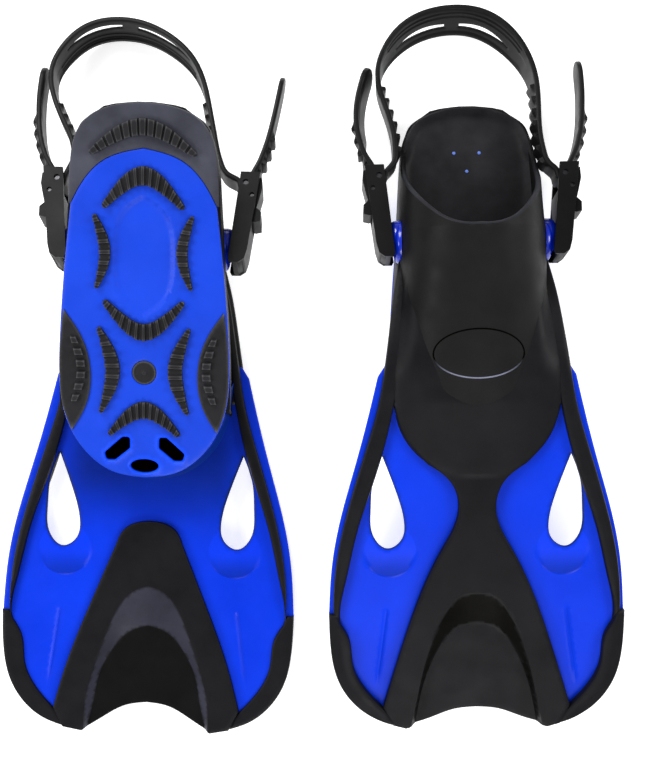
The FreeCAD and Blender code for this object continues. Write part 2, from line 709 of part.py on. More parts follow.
def build_fin(prefix, fin, strap_angle, loop, tails, moulded):
    made = []
    made.append(feature(f"{prefix}_blade", moulded["blade"], fin.multiply(BLADE_PLACE)))
    made.append(feature(f"{prefix}_centre_channel", moulded["channel"], fin.multiply(BLADE_PLACE)))
    made.append(feature(f"{prefix}_foot_pocket", moulded["pocket"], fin))
    made.append(feature(f"{prefix}_tread_bars", tread_group(), fin))
    made.append(feature(f"{prefix}_heel_tread", tread_shape(HEEL_TREAD), fin))
    made.append(feature(f"{prefix}_side_grips", side_grip_group(), fin))
    made.append(sole_plate(f"{prefix}_sole_plate", fin))
    made.append(footbed(f"{prefix}_footbed", fin))
    plug_place = fin.multiply(placement(0, size("plug_y"), size("tread_depth") - 2))
    made.append(cylinder(f"{prefix}_sole_plug", "dims.plug_radius", "dims.plug_length", plug_place))
    pivot = placement(y=size("pivot_y"), z=size("pivot_height"), rotation=about_x(strap_angle))
    strap_place = fin.multiply(pivot)
    for name, side in (("outer", 1), ("inner", -1)):
        made.append(feature(f"{prefix}_rail_{name}", moulded["rails"][side], fin.multiply(BLADE_PLACE)))
        made.append(feature(f"{prefix}_tip_guard_{name}", moulded["guards"][side], fin.multiply(BLADE_PLACE)))
        made.append(stud(f"{prefix}_stud_{name}", fin, side, moulded["pocket_fill"]))
        made.append(buckle_housing(f"{prefix}_buckle_housing_{name}", strap_place, side))
        made.append(lever(f"{prefix}_buckle_lever_{name}", strap_place, side))
        made.append(cross_pin(f"{prefix}_strap_bar_{name}", strap_place, side,
                              "bar_x", "bar_u", "bar_radius"))
        made.append(cross_pin(f"{prefix}_lever_pin_{name}", strap_place, side,
                              "lever_pin_x", "lever_pin_u", "lever_pin_radius"))
        made.append(lever_spring(f"{prefix}_lever_spring_{name}", strap_place, side))
    made.append(feature(f"{prefix}_strap", strap_shape(loop, tails), strap_place))
    return made


outer_pocket = pocket_body()
tilted_pocket = in_blade_frame(outer_pocket)
blade = blade_shape(tilted_pocket)
rails = {side: rail_shape(side, tilted_pocket, blade) for side in (1, -1)}
skirt = skirt_shape(tilted_pocket, blade, rails.values())
mouldings = {
    "blade": blade,
    "channel": channel_shape(tilted_pocket, blade),
    "pocket": pocket_shape(outer_pocket, skirt),
    "pocket_fill": outer_pocket,
    "rails": rails,
    "guards": {side: guard_shape(side, blade) for side in (1, -1)},
}

left_pivot = LEFT_FIN.multVec(V(0, size("pivot_y"), size("pivot_height")))
right_droop = droop_to_ground(size("pivot_height"), size("strap_reach"))
left_droop = droop_to_ground(left_pivot.z, size("strap_reach"))

nodes = build_fin("right", RIGHT_FIN, -right_droop, RIGHT_LOOP, RIGHT_TAILS, mouldings)
nodes += build_fin("left", LEFT_FIN, FLIP_TILT + left_droop, LEFT_LOOP, LEFT_TAILS, mouldings)
doc.recompute()

# ---------------------------------------------------------------- checks and files

for obj in doc.Objects:
    if "Invalid" in obj.State or "Error" in obj.State:
        raise RuntimeError(f"{obj.Label} failed: {obj.State}")

pair_box = FreeCAD.BoundBox()
for node in nodes:
    if node.Shape.isNull() or not node.Shape.isValid():
        raise RuntimeError(f"{node.Label} has a bad shape")
    pair_box.add(node.Shape.BoundBox)

os.makedirs("parts", exist_ok=True)
for node in nodes:
    node.Shape.exportStep(os.path.join("parts", node.Label + ".step"))

print(len(nodes), "nodes;", pair_box)
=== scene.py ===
import json
import math

import bmesh
import bpy
import numpy as np
from mathutils import Matrix, Vector
from mathutils.geometry import delaunay_2d_cdt


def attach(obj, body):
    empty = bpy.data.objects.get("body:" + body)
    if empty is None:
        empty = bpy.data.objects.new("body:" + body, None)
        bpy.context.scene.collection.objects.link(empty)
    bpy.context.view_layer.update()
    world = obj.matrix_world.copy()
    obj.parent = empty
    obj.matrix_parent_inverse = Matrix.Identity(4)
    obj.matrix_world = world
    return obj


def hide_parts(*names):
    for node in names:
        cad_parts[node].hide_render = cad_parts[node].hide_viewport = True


# A pair of open-heel swim fins. Every piece is drawn in its own fin's frame in millimetres:
# x across the fin, y from the leg tips to the heel, z up from the treads. Blade pieces use
# (x, v, w) with v up the inclined blade and w normal to it; straps use (x, u, w) with u along
# the strap from its pivots. One matrix for each frame puts them in the model, in metres.

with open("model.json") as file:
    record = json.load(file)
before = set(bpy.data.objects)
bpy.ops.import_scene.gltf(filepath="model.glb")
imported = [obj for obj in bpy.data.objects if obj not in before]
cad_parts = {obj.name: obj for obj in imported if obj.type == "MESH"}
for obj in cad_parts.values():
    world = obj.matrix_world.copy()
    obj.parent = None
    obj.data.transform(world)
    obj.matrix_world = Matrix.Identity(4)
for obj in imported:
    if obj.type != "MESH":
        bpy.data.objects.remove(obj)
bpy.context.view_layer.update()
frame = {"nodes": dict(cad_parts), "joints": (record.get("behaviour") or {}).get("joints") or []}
JOINTS = {joint["name"]: joint for joint in frame["joints"]}

MM = 0.001


def linked(name, data):
    """A new object of the scene."""
    thing = bpy.data.objects.new(name, data)
    bpy.context.scene.collection.objects.link(thing)
    return thing


# ---------------------------------------------------------------- camera

CAMERA_X = 0.0105
CAMERA_Y = -0.0088
CAMERA_HEIGHT = 1.0
LONG_SIDE_SENSOR = 36.0
HALF_VIEW_TANGENT = 0.27648      # half the picture's height at one metre, in metres


def make_camera():
    data = bpy.data.cameras.new("camera")
    data.sensor_fit = "VERTICAL"
    data.sensor_height = LONG_SIDE_SENSOR
    data.sensor_width = LONG_SIDE_SENSOR
    data.lens = LONG_SIDE_SENSOR / 2 / HALF_VIEW_TANGENT
    data.dof.use_dof = False
    camera = linked("camera", data)
    camera.location = (CAMERA_X, CAMERA_Y, CAMERA_HEIGHT)
    bpy.context.scene.camera = camera


make_camera()

# ---------------------------------------------------------------- frames of the two fins

PIVOT = Vector((0, 344.5, 38))            # where the strap turns, in the fin's frame
BLADE_RISE = 0.19
BLADE_ROOT = 8.0
BLADE_ANGLE = math.atan(BLADE_RISE)
LEVER_PIN_X = 68.5
POCKET_CROWN = 95.0
GUARD_TOP = 16.0
OPENING_FRONT = 347.0
FLIP_TILT = math.atan2(POCKET_CROWN - GUARD_TOP, OPENING_FRONT)


def frame_matrix(x_axis, z_axis, origin, local_origin=Vector((0, 0, 0))):
    """Places a frame whose local_origin, in millimetres, falls on origin, in metres."""
    y_axis = z_axis.cross(x_axis)
    turn = Matrix((x_axis, y_axis, z_axis)).transposed().to_4x4()
    return Matrix.Translation(origin) @ turn @ Matrix.Scale(MM, 4) @ Matrix.Translation(-local_origin)


def fin_matrix(prefix):
    joint = JOINTS[prefix + "_strap_swing"]
    x_axis = Vector(joint["axis"]).normalized()
    up = Vector((0, 0, 1))
    z_axis = up
    if x_axis.x < 0:
        z_axis = -up * math.cos(FLIP_TILT) + x_axis.cross(up) * math.sin(FLIP_TILT)
    return frame_matrix(x_axis, z_axis.normalized(), Vector(joint["pos_m"]), PIVOT)


def strap_matrix(prefix):
    swing = JOINTS[prefix + "_strap_swing"]
    press = JOINTS[prefix + "_lever_outer_press"]
    x_axis = Vector(swing["axis"]).normalized()
    pivot = Vector(swing["pos_m"])
    u_axis = (Vector(press["pos_m"]) - pivot - x_axis * LEVER_PIN_X * MM).normalized()
    return frame_matrix(x_axis, x_axis.cross(u_axis).normalized(), pivot)


BLADE_IN_FIN = Matrix.Translation((0, 0, BLADE_ROOT)) @ Matrix.Rotation(BLADE_ANGLE, 4, "X")

# ---------------------------------------------------------------- curves and outlines


def read_at(places, known, table):
    """A table whose rows are known at some places, read at others."""
    return np.column_stack([np.interp(places, known, column) for column in table.T])


def spline(points, step=1.5):
    """Points along a smooth curve through the given ones, or along a straight line through two."""
    knots = np.array(points, float)
    chord = np.linalg.norm(np.diff(knots, axis=0), axis=1)
    at = np.concatenate([[0], np.cumsum(chord)])
    fine = np.linspace(0, at[-1], max(2, int(round(at[-1] / step)) + 1))
    return read_at(fine, at, knots) if len(knots) == 2 else natural_spline(at, knots, fine)


def natural_spline(at, knots, fine):
    """A natural cubic spline of the knots over the parameter at, read at the fine parameters."""
    count = len(at)
    gap = np.diff(at)
    system = np.eye(count)
    right = np.zeros((count, knots.shape[1]))
    for i in range(1, count - 1):
        system[i, i - 1] = gap[i - 1]
        system[i, i] = 2 * (gap[i - 1] + gap[i])
        system[i, i + 1] = gap[i]
        right[i] = 6 * ((knots[i + 1] - knots[i]) / gap[i] - (knots[i] - knots[i - 1]) / gap[i - 1])
    bend = np.linalg.solve(system, right)
    cell = np.clip(np.searchsorted(at, fine, side="right") - 1, 0, count - 2)
    width = gap[cell][:, None]
    low = (at[cell + 1] - fine)[:, None]
    high = (fine - at[cell])[:, None]
    value = bend[cell] * low ** 3 / (6 * width) + bend[cell + 1] * high ** 3 / (6 * width)
    value += (knots[cell] / width - bend[cell] * width / 6) * low
    return value + (knots[cell + 1] / width - bend[cell + 1] * width / 6) * high


def joined(pieces, step=1.5):
    """One closed outline from curves that follow one another."""
    parts = [spline(piece, step)[:-1] for piece in pieces]
    return np.concatenate(parts)


def mirrored(points):
    return [(-x, y) for x, y in reversed(points)]


def symmetric(pieces, step=1.5):
    """A closed outline from half of it, which starts and ends on the centre line."""
    return joined(list(pieces) + [mirrored(p) for p in reversed(pieces)], step)


def one_side(pieces, side, step=1.5):
    return joined([[(side * x, y) for x, y in p] for p in pieces], step)


def up_blade(points):
    """Turns outline points given along the ground into points up the inclined blade."""
    stretched = np.array(points, float)
    stretched[:, 1] /= math.cos(BLADE_ANGLE)
    return stretched


def linked_up(edges):
    """Edges up the blade, with a straight link to each one from the end of the one before.

    A single point is only linked to.
    """
    pieces = [edges[0]]
    for edge in edges[1:]:
        if pieces[-1][-1] != edge[0]:
            pieces.append([pieces[-1][-1], edge[0]])
        if len(edge) > 1:
            pieces.append(edge)
    return [up_blade(piece) for piece in pieces]


def ellipse(x, y, half_width, half_length, count):
    turn = np.linspace(0, 2 * math.pi, count, endpoint=False)
    return np.column_stack([x + half_width * np.cos(turn), y + half_length * np.sin(turn)])


def with_mirror(half):
    """A line that ends on the centre line, followed by its mirror image."""
    return np.concatenate([half, (half[::-1] * np.array([-1, 1]))[1:]])


def along_ground(v):
    return v * math.cos(BLADE_ANGLE)


def smooth_step(low, high, value):
    t = np.clip((value - low) / (high - low), 0, 1)
    return t * t * (3 - 2 * t)


def bump(distance, radius):
    """1 at no distance, falling smoothly to 0 at the radius."""
    t = np.clip(np.abs(distance) / radius, 0, 1)
    return (1 - t * t) ** 2


def smooth_max(a, b, blend):
    """The larger of two heights, with a fillet where they are close."""
    closeness = np.clip(1 - np.abs(a - b) / blend, 0, 1)
    return np.maximum(a, b) + closeness ** 2 * blend / 4


def distance_to(points, line, closed=True):
    """Distance of each point to a polyline."""
    start = np.asarray(line, float)
    end = np.roll(start, -1, axis=0)
    if not closed:
        start, end = start[:-1], end[:-1]
    run = end - start
    length = np.maximum((run ** 2).sum(axis=1), 1e-12)
    best = np.empty(len(points))
    for first in range(0, len(points), 1000):
        some = points[first:first + 1000]
        offset = some[:, None, :] - start[None]
        t = np.clip((offset * run[None]).sum(axis=2) / length[None], 0, 1)
        gap = offset - t[..., None] * run[None]
        best[first:first + 1000] = np.sqrt((gap ** 2).sum(axis=2).min(axis=1))
    return best


def nearest(points, lines, closed=True):
    """Distance of each point to the nearest of some polylines."""
    return np.min([distance_to(points, line, closed) for line in lines], axis=0)


def inside(points, loop):
    """Whether each point is inside a closed outline."""
    start = np.asarray(loop, float)
    end = np.roll(start, -1, axis=0)
    found = np.zeros(len(points), bool)
    for first in range(0, len(points), 2000):
        x = points[first:first + 2000, 0][:, None]
        y = points[first:first + 2000, 1][:, None]
        crosses = (start[None, :, 1] > y) != (end[None, :, 1] > y)
        rise = end[None, :, 1] - start[None, :, 1]
        rise = np.where(np.abs(rise) < 1e-12, 1e-12, rise)
        at = start[None, :, 0] + (y - start[None, :, 1]) / rise * (end[None, :, 0] - start[None, :, 0])
        found[first:first + 2000] = (crosses & (x < at)).sum(axis=1) % 2 == 1
    return found


def in_region(points, loops):
    """Whether each point is inside the first loop and outside the others."""
    found = inside(points, loops[0])
    for hole in loops[1:]:
        found &= ~inside(points, hole)
    return found


# ---------------------------------------------------------------- relief solids


class Shape:
    """Points and faces of a mesh, in millimetres."""

    def __init__(self, points=None, faces=None):
        self.points = np.zeros((0, 3)) if points is None else np.asarray(points, float)
        self.faces = [] if faces is None else list(faces)
        self.tone = np.zeros(len(self.points))

    def add(self, other):
        shift = len(self.points)
        self.points = np.concatenate([self.points, other.points])
        self.tone = np.concatenate([self.tone, other.tone])
        self.faces += [tuple(i + shift for i in face) for face in other.faces]
        return self

    def with_painted_light(self, shade):
        """Gives each point its painted light or shade: how much lighter (over 0) or darker (under 0) its
        colour is painted there.
        """
        self.tone = shade(*self.points.T) + 0 * self.points[:, 0]
        return self

    def placed(self, matrix):
        turn = np.array(matrix.to_3x3())
        move = np.array(matrix.translation)
        return Shape(self.points @ turn.T + move, self.faces)


ROW_PITCH = 0.866       # between rows of an even triangular grid, as a share of its spacing


def unit(rows):
    return rows / np.maximum(np.linalg.norm(rows, axis=1), 1e-9)[:, None]


def offset_points(loop, distance):
    """Points a small distance to both sides of a loop."""
    along = unit(loop - np.roll(loop, 1, axis=0)) + unit(np.roll(loop, -1, axis=0) - loop)
    along = unit(along)
    normal = np.column_stack([-along[:, 1], along[:, 0]])
    return np.concatenate([loop + normal * distance, loop - normal * distance])


def triangulated(loops, spacing, edge, lines):
    """Triangles filling the first loop less the others, with rows of points along the rims."""
    edges = []
    count = 0
    for number, line in enumerate(loops + lines):
        indices = list(range(count, count + len(line)))
        edges += zip(indices, indices[1:])
        if number < len(loops):
            edges.append((indices[-1], indices[0]))
        count += len(line)
    by_rims = []
    for share in (0.3, 1.0):
        for loop in loops:
            near = offset_points(loop, edge * share)
            by_rims.append(near[nearest(near, loops) > 0.93 * edge * share])
    low, high = loops[0].min(axis=0), loops[0].max(axis=0)
    rows = []
    for number, y in enumerate(np.arange(low[1], high[1], spacing * ROW_PITCH)):
        xs = np.arange(low[0] + (number % 2) * spacing / 2, high[0], spacing)
        rows.append(np.column_stack([xs, np.full(len(xs), y)]))
    grid = np.concatenate(rows)
    extra = np.concatenate(by_rims + [grid[nearest(grid, loops) > edge + 0.45 * spacing]])
    for line in lines:
        extra = extra[distance_to(extra, line, closed=False) > 0.3 * spacing]
    extra = extra[in_region(extra, loops)]
    everything = np.concatenate(loops + lines + [extra])
    result = delaunay_2d_cdt([Vector(p) for p in everything.tolist()], edges, [], 0, 1e-5)
    flat = np.array([tuple(p) for p in result[0]])
    triangles = np.array([face for face in result[2] if len(face) == 3])
    triangles = triangles[in_region(flat[triangles].mean(axis=1), loops)]
    first, second, third = (flat[triangles[:, i]] for i in range(3))
    run, rise = second - first, third - first
    area = run[:, 0] * rise[:, 1] - run[:, 1] * rise[:, 0]
    triangles[area < 0] = triangles[area < 0][:, ::-1]
    return flat, triangles[np.abs(area) > 1e-7]


def relief(outline, top, bottom, edge=0.8, spacing=2.5, holes=(), lines=()):
    """A solid over an outline, between two height functions of x and y, with rounded rims."""
    loops = [np.asarray(outline, float)] + [np.asarray(hole, float) for hole in holes]
    flat, triangles = triangulated(loops, spacing, edge, [np.asarray(line, float) for line in lines])
    used = np.unique(triangles)
    renumber = np.full(len(flat), -1)
    renumber[used] = np.arange(len(used))
    flat, triangles = flat[used], renumber[triangles]
    x, y = flat[:, 0], flat[:, 1]
    upper, lower = top(x, y) + 0 * x, bottom(x, y) + 0 * x
    radius = np.minimum(edge, (upper - lower) * 0.49)
    inward = np.clip(radius - nearest(flat, loops), 0, None)
    drop = radius - np.sqrt(np.maximum(radius ** 2 - inward ** 2, 0))
    count = len(flat)
    points = np.concatenate([np.column_stack([flat, upper - drop]), np.column_stack([flat, lower + drop])])
    faces = [tuple(t) for t in triangles.tolist()]
    faces += [tuple(t) for t in (triangles[:, ::-1] + count).tolist()]
    directed = {}
    for a, b, c in triangles.tolist():
        for start, end in ((a, b), (b, c), (c, a)):
            if directed.pop((end, start), None) is None:
                directed[(start, end)] = True
    faces += [(a, a + count, b + count, b) for a, b in directed]
    return Shape(points, faces)


def level(height):
    return lambda x, y: height + 0 * x


def grid_faces(rows, columns, wrap=False):
    faces = []
    for i in range(rows - 1):
        for j in range(columns if wrap else columns - 1):
            k = (j + 1) % columns
            faces.append((i * columns + j, i * columns + k, (i + 1) * columns + k, (i + 1) * columns + j))
    return faces


def flipped(faces):
    """The same faces, seen from behind."""
    return [tuple(reversed(face)) for face in faces]


# ---------------------------------------------------------------- pieces and materials


TAB_START = 74.5        # how far out a lever's thumb tab starts, and the share of its depth that is left
TAB_SHARE = 0.45
EDGE_ROUNDING = 0.5
SHARP_ANGLE = 30


def settle(name, mesh, body, material, sharp, stands_for):
    """Makes a finished mesh a piece that rides a body and stands for CAD nodes."""
    mesh.materials.append(material)
    mesh.shade_smooth()
    mesh.set_sharp_from_angle(angle=math.radians(sharp))
    piece = linked(name, mesh)
    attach(piece, body)
    if stands_for:
        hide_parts(*stands_for)
    return piece


def add_piece(name, shape, matrix, body, material, stands_for=()):
    mesh = bpy.data.meshes.new(name)
    placed = shape.placed(matrix)
    mesh.from_pydata(placed.points.tolist(), [], placed.faces)
    mesh.attributes.new("tone", "FLOAT", "POINT").data.foreach_set("value", shape.tone)
    settle(name, mesh, body, material, 38, stands_for)


def refined(node, body, slot, tab_frame=None):
    """A copy of a CAD solid with its edges rounded over, which stands for it.

    With tab_frame, the strap's frame, the part that stands out furthest sideways is made slimmer.
    """
    source = frame["nodes"][node]
    mesh = bpy.data.meshes.new(node + "_moulded")
    work = bmesh.new()
    work.from_mesh(source.data)
    bmesh.ops.remove_doubles(work, verts=work.verts, dist=1e-6)
    bmesh.ops.dissolve_limit(work, angle_limit=math.radians(0.5), verts=work.verts, edges=work.edges)
    sharp = math.radians(SHARP_ANGLE)
    crisp = [e for e in work.edges if len(e.link_faces) == 2 and e.calc_face_angle(0) > sharp]
    bmesh.ops.bevel(work, geom=crisp, offset=EDGE_ROUNDING * MM, segments=2, profile=0.5,
                    affect="EDGES", clamp_overlap=True)
    if tab_frame is not None:
        back = tab_frame.inverted()
        for vertex in work.verts:
            place = back @ vertex.co
            beyond = max(abs(place.x) - TAB_START, 0.0)
            place.x -= math.copysign(beyond * (1 - TAB_SHARE), place.x)
            vertex.co = tab_frame @ place
    work.to_mesh(mesh)
    work.free()
    piece = settle(node + "_moulded", mesh, body, MATERIALS[slot], SHARP_ANGLE, (node,))
    even = piece.modifiers.new("even_shading", "WEIGHTED_NORMAL")
    even.keep_sharp = True
    even.weight = 80


# Painted light and shade change the blue a little more than the red and green.
PAINTED_LIGHT_TINT = (0.95, 1.0, 1.3)        # a lighter part is a little bluer
MIDDLE_OF_NOISE = (0.3, 0.7)        # between these, a noise goes from its low value to its high one


class Nodes:
    """A short way to build a material's node tree."""

    def __init__(self, name):
        self.material = bpy.data.materials.new(name)
        self.material.use_nodes = True
        self.tree = self.material.node_tree
        self.shader = self.tree.nodes["Principled BSDF"]
        self.coordinates = self.add("ShaderNodeTexCoord").outputs["Object"]

    def feed(self, node, inputs):
        """Gives a node's inputs their values, or links them to other nodes' outputs."""
        for socket, value in inputs.items():
            if isinstance(value, bpy.types.NodeSocket):
                self.tree.links.new(value, node.inputs[socket])
            else:
                node.inputs[socket].default_value = value

    def add(self, kind, inputs=None, **settings):
        node = self.tree.nodes.new(kind)
        for key, value in settings.items():
            setattr(node, key, value)
        self.feed(node, inputs or {})
        return node

    def shade(self, inputs):
        self.feed(self.shader, inputs)

    def noise(self, scale, detail, stretch=(1, 1, 1)):
        mapping = self.add("ShaderNodeMapping", {"Scale": stretch, "Vector": self.coordinates})
        noise = self.add("ShaderNodeTexNoise", {"Scale": scale, "Detail": detail, "Roughness": 0.6,
                                                "Vector": mapping.outputs["Vector"]})
        return noise.outputs["Fac"]

    def tone(self):
        """The piece's painted light and shade at each point."""
        return self.add("ShaderNodeAttribute", attribute_name="tone").outputs["Fac"]

    def with_painted_light(self, colour):
        """The colour, lighter by the piece's painted light or darker by its painted shade."""
        tint = self.add("ShaderNodeVectorMath", {0: colour, 1: PAINTED_LIGHT_TINT}, operation="MULTIPLY")
        change = self.add("ShaderNodeVectorMath", {0: tint.outputs[0], "Scale": self.tone()},
                          operation="SCALE")
        total = self.add("ShaderNodeVectorMath", {0: colour, 1: change.outputs[0]}, operation="ADD")
        return total.outputs[0]

    def ramp(self, source, low, high):
        ramp = self.add("ShaderNodeValToRGB", {"Fac": source})
        for element, position, colour in zip(ramp.color_ramp.elements, MIDDLE_OF_NOISE, (low, high)):
            element.position = position
            element.color = (*colour, 1)
        return ramp.outputs["Color"]

    def span(self, source, low, high, start=MIDDLE_OF_NOISE[0], end=MIDDLE_OF_NOISE[1]):
        return self.add("ShaderNodeMapRange", {"Value": source, "From Min": start, "From Max": end,
                                               "To Min": low, "To Max": high}).outputs["Result"]

    def bumps(self, *layers):
        """Each layer is a height, its distance in millimetres and a strength."""
        normal = {}
        for height, distance, strength in layers:
            layer = self.add("ShaderNodeBump", {"Strength": strength, "Distance": distance * MM,
                                                "Height": height, **normal})
            normal = {"Normal": layer.outputs["Normal"]}
        self.shade(normal)


def rubber(name, dark, light, gloss, grain, edge_light=None):
    """Rubber with a fine grain, and lighter where it is sharply convex if it has an edge_light, which stands
    for edge wear and a painted highlight.
    """
    nodes = Nodes(name)
    colour = nodes.ramp(nodes.noise(28, 5), dark, light)
    fine = nodes.noise(900, 3)
    if edge_light is not None:
        # Sharp convex edges are made lighter: edge wear and a painted highlight.
        geometry = nodes.add("ShaderNodeNewGeometry")
        edge_wear_and_glint = nodes.span(geometry.outputs["Pointiness"], 0.0, 1.0, 0.52, 0.58)
        mix = nodes.add("ShaderNodeMix", data_type="RGBA")
        nodes.feed(mix, {"Factor": edge_wear_and_glint, "A": colour, "B": (*edge_light, 1)})
        colour = mix.outputs["Result"]
    nodes.shade({
        "Base Color": nodes.with_painted_light(colour),
        "Roughness": nodes.span(nodes.noise(60, 6), *gloss),
        # Where shade is painted, the reflection is dimmed too.
        "Specular IOR Level": nodes.span(nodes.tone(), 0.0, 0.13, -1.0, 0.0),
    })
    nodes.bumps((fine, 0.05 * grain, 0.35), (nodes.noise(120, 4), 0.12 * grain, 0.15))
    return nodes.material


def moulded_plastic(name, dark, light, gloss, grain, specular, coat=0.0):
    nodes = Nodes(name)
    nodes.shade({
        "Base Color": nodes.with_painted_light(nodes.ramp(nodes.noise(16, 4), dark, light)),
        "Roughness": nodes.span(nodes.noise(45, 6), *gloss),
        "Specular IOR Level": specular,
        "Coat Weight": coat,
        "Coat Roughness": 0.12,
    })
    nodes.bumps((nodes.noise(700, 2), 0.03 * grain, 0.3), (nodes.noise(22, 3), 0.5 * grain, 0.10))
    return nodes.material


def steel(name, colour, rough):
    nodes = Nodes(name)
    drawn = nodes.noise(900, 3, stretch=(1, 1, 0.05))
    dark = tuple(0.72 * c for c in colour)
    nodes.shade({
        "Base Color": nodes.ramp(drawn, dark, colour),
        "Roughness": nodes.span(drawn, *rough),
        "Metallic": 1.0,
    })
    nodes.bumps((drawn, 0.02, 0.3))
    return nodes.material


# Name and kind, then a plastic's or a rubber's dark and light colour, roughness and grain, and a
# plastic's specular and coat or a rubber's light edges, which are edge wear and a painted highlight.
MATERIALS = {name: make(name, *settings) for name, make, *settings in (
    ("blue_blade", moulded_plastic, (0.001, 0.028, 0.56), (0.002, 0.038, 0.68), (0.30, 0.42), 0.4, 0.12),
    ("blue_sole", moulded_plastic, (0.002, 0.040, 0.52), (0.004, 0.054, 0.65), (0.38, 0.52), 0.8, 0.22),
    ("blue_stud", moulded_plastic, (0.001, 0.018, 0.46), (0.002, 0.026, 0.56), (0.20, 0.30), 0.3, 0.5, 0.3),
    ("peg_blue", moulded_plastic, (0.10, 0.18, 0.60), (0.14, 0.24, 0.72), (0.35, 0.5), 0.5, 0.3),
    ("black_rubber", rubber, (0.0045, 0.0045, 0.0048), (0.0085, 0.0085, 0.0090), (0.44, 0.60), 1.0),
    ("blade_rubber", rubber, (0.0036, 0.0036, 0.0045), (0.0072, 0.0072, 0.0088), (0.40, 0.55), 1.0),
    ("footbed_rubber", rubber, (0.0075, 0.0075, 0.0085), (0.0230, 0.0230, 0.0260), (0.40, 0.66), 2.0),
    ("tread_rubber", rubber, (0.010, 0.010, 0.011), (0.018, 0.018, 0.020), (0.5, 0.66), 1.5,
     (0.075, 0.075, 0.078)),
    ("strap_rubber", rubber, (0.0050, 0.0050, 0.0054), (0.0088, 0.0088, 0.0094), (0.34, 0.48), 0.7),
    ("buckle_plastic", moulded_plastic, (0.0028, 0.0028, 0.0031), (0.0052, 0.0052, 0.0056), (0.36, 0.48),
     1.0, 0.13),
    ("pin_steel", steel, (0.07, 0.07, 0.075), (0.28, 0.42)),
    ("spring_steel", steel, (0.50, 0.50, 0.52), (0.2, 0.35)),
)}

# ---------------------------------------------------------------- outlines of the moulded parts

SILHOUETTE = [(67.5, 248.5), (76.5, 213), (85, 183), (93.5, 153.5), (100.5, 119), (103.3, 83)]
RAIL_OUTER_EDGE = [(51, 324), (55.5, 304), (59.2, 280), (62.8, 256), (67.5, 230), (75.5, 202), (87.5, 163.5),
                   (97, 124), (100, 79), (99.6, 72)]
RAIL_INNER_EDGE = [(93.5, 70), (95.4, 79), (91.5, 106), (83, 141.5), (71.5, 176), (61.5, 209), (53.5, 250),
                   (48.5, 288), (45, 324)]
GUARD_INNER_EDGE = [(95.8, 77), (89.5, 66), (87, 47), (76.5, 26.5), (64, 13)]
GUARD_OUTER_EDGE = [(56, 1.8), (73.5, 8), (87, 18.5), (97.5, 35), (102.5, 58), (103.4, 83.5)]
CHANNEL_EDGE = [(66, 16), (58.5, 43), (40, 92), (23.5, 131.5)]
CHANNEL_APEX = [(23.5, 131.5), (18.5, 141.5), (9, 146.8), (0, 148)]
NECK_EDGE = [(66, 16), (50.5, 66), (25, 128), (13, 157), (18, 176), (34, 189)]
NOTCH_EDGE = [(50, 0), (32, 5.5), (16, 11.3), (0, 13)]
SAGGED_NOTCH_EDGE = [(45.5, 0), (31, 9), (15, 17.6), (0, 20)]     # as it hangs on the sole-up fin
RECESS_ARCH = [(43.2, 2.1), (37, 31), (25.5, 58), (12, 72.5), (0, 75)]
RECESS_SHOULDER = [(46.5, 2.1), (41.5, 26), (36.5, 48), (30, 68), (24, 81.5), (19, 89), (12, 96), (0, 98.6)]
SOLE_RECESS_ARCH = [(42, 2.1), (38, 18), (33.5, 40), (25, 57), (16.5, 67), (9, 71.5), (0, 74)]
SOLE_RECESS_SHOULDER = [(44, 2.1), (44, 17), (39, 41), (31, 64), (23.5, 83), (16.5, 94), (9, 100), (0, 103)]
CUTOUT_EDGE = [(0, 144), (10, 142), (20, 130), (36.5, 90), (54.5, 41), (62.5, 12)]
HIDDEN_EDGE = [(66, 11), (82, 24), (92.5, 44), (96, 62), (99.5, 79)]
SKIRT_EDGE = [(34, 189), (45, 201), (52.5, 214), (57, 229)]
VENT = [(65, 194), (71.5, 176), (73.3, 155), (71.6, 138), (62, 129), (52.2, 135), (50.2, 147), (55, 167),
        (65, 194)]
BLADE_RIB = [(63, 84), (66.5, 58), (70.6, 30)]
SCOOP_X = 60.2          # a shallow round hollow in each face, centred below each vent
SCOOP_Y = 127.0
SCOOP_RADIUS = 18.4

SOLE_SIDE = [(47.7, 374), (52, 337), (56.3, 285), (56.8, 253), (52, 227), (39.5, 206), (21, 192.5), (0, 189)]
SOLE_HEEL_ARCH = [(0, 410.7), (26, 402.5), (41, 386.5), (47.7, 374)]
HEEL_SIDE = [(0, 440), (24, 436.4), (37.5, 428.5), (44, 419), (47.5, 404), (49.3, 374)]
FOOTBED_EDGE = [(0, 191.5), (21, 195), (39, 208), (50.5, 228), (53, 256), (50.5, 300), (47.6, 345),
                (46.4, 385), (46, 406), (42.7, 419), (36.5, 428.6), (27, 434.4), (14, 438.2), (0, 439.2)]
RECESSED_OVAL = [(0, 299.7), (14, 311), (20, 340), (14, 370), (0, 381)]
SIDE_GRIP_INNER = [(53.3, 304.5), (41, 285), (35.6, 261), (40, 237), (49, 221.5)]
SIDE_GRIP_OUTER = [(49, 221.5), (54.3, 237), (56.6, 262), (55.5, 286), (53.3, 304.5)]
DRAIN_SLOT = [(9.8, 217.3), (15, 217.3), (27.2, 206), (25.8, 201), (20, 201), (9.8, 209.5)]
HEEL_TREAD = ([(-37, 409), (0, 430), (37, 409)], [(-32, 404.5), (0, 419), (32, 404.5)])
CROSS_TREADS = (
    ([(-29, 374), (0, 399.4), (29, 374)], [(-24, 370), (0, 387), (24, 370)]),
    ([(-29, 309), (0, 284.3), (29, 309)], [(-24, 313), (0, 295.7), (24, 313)]),
    ([(-26, 221), (0, 242.6), (26, 221)], [(-22, 217), (0, 231), (22, 217)]),
)
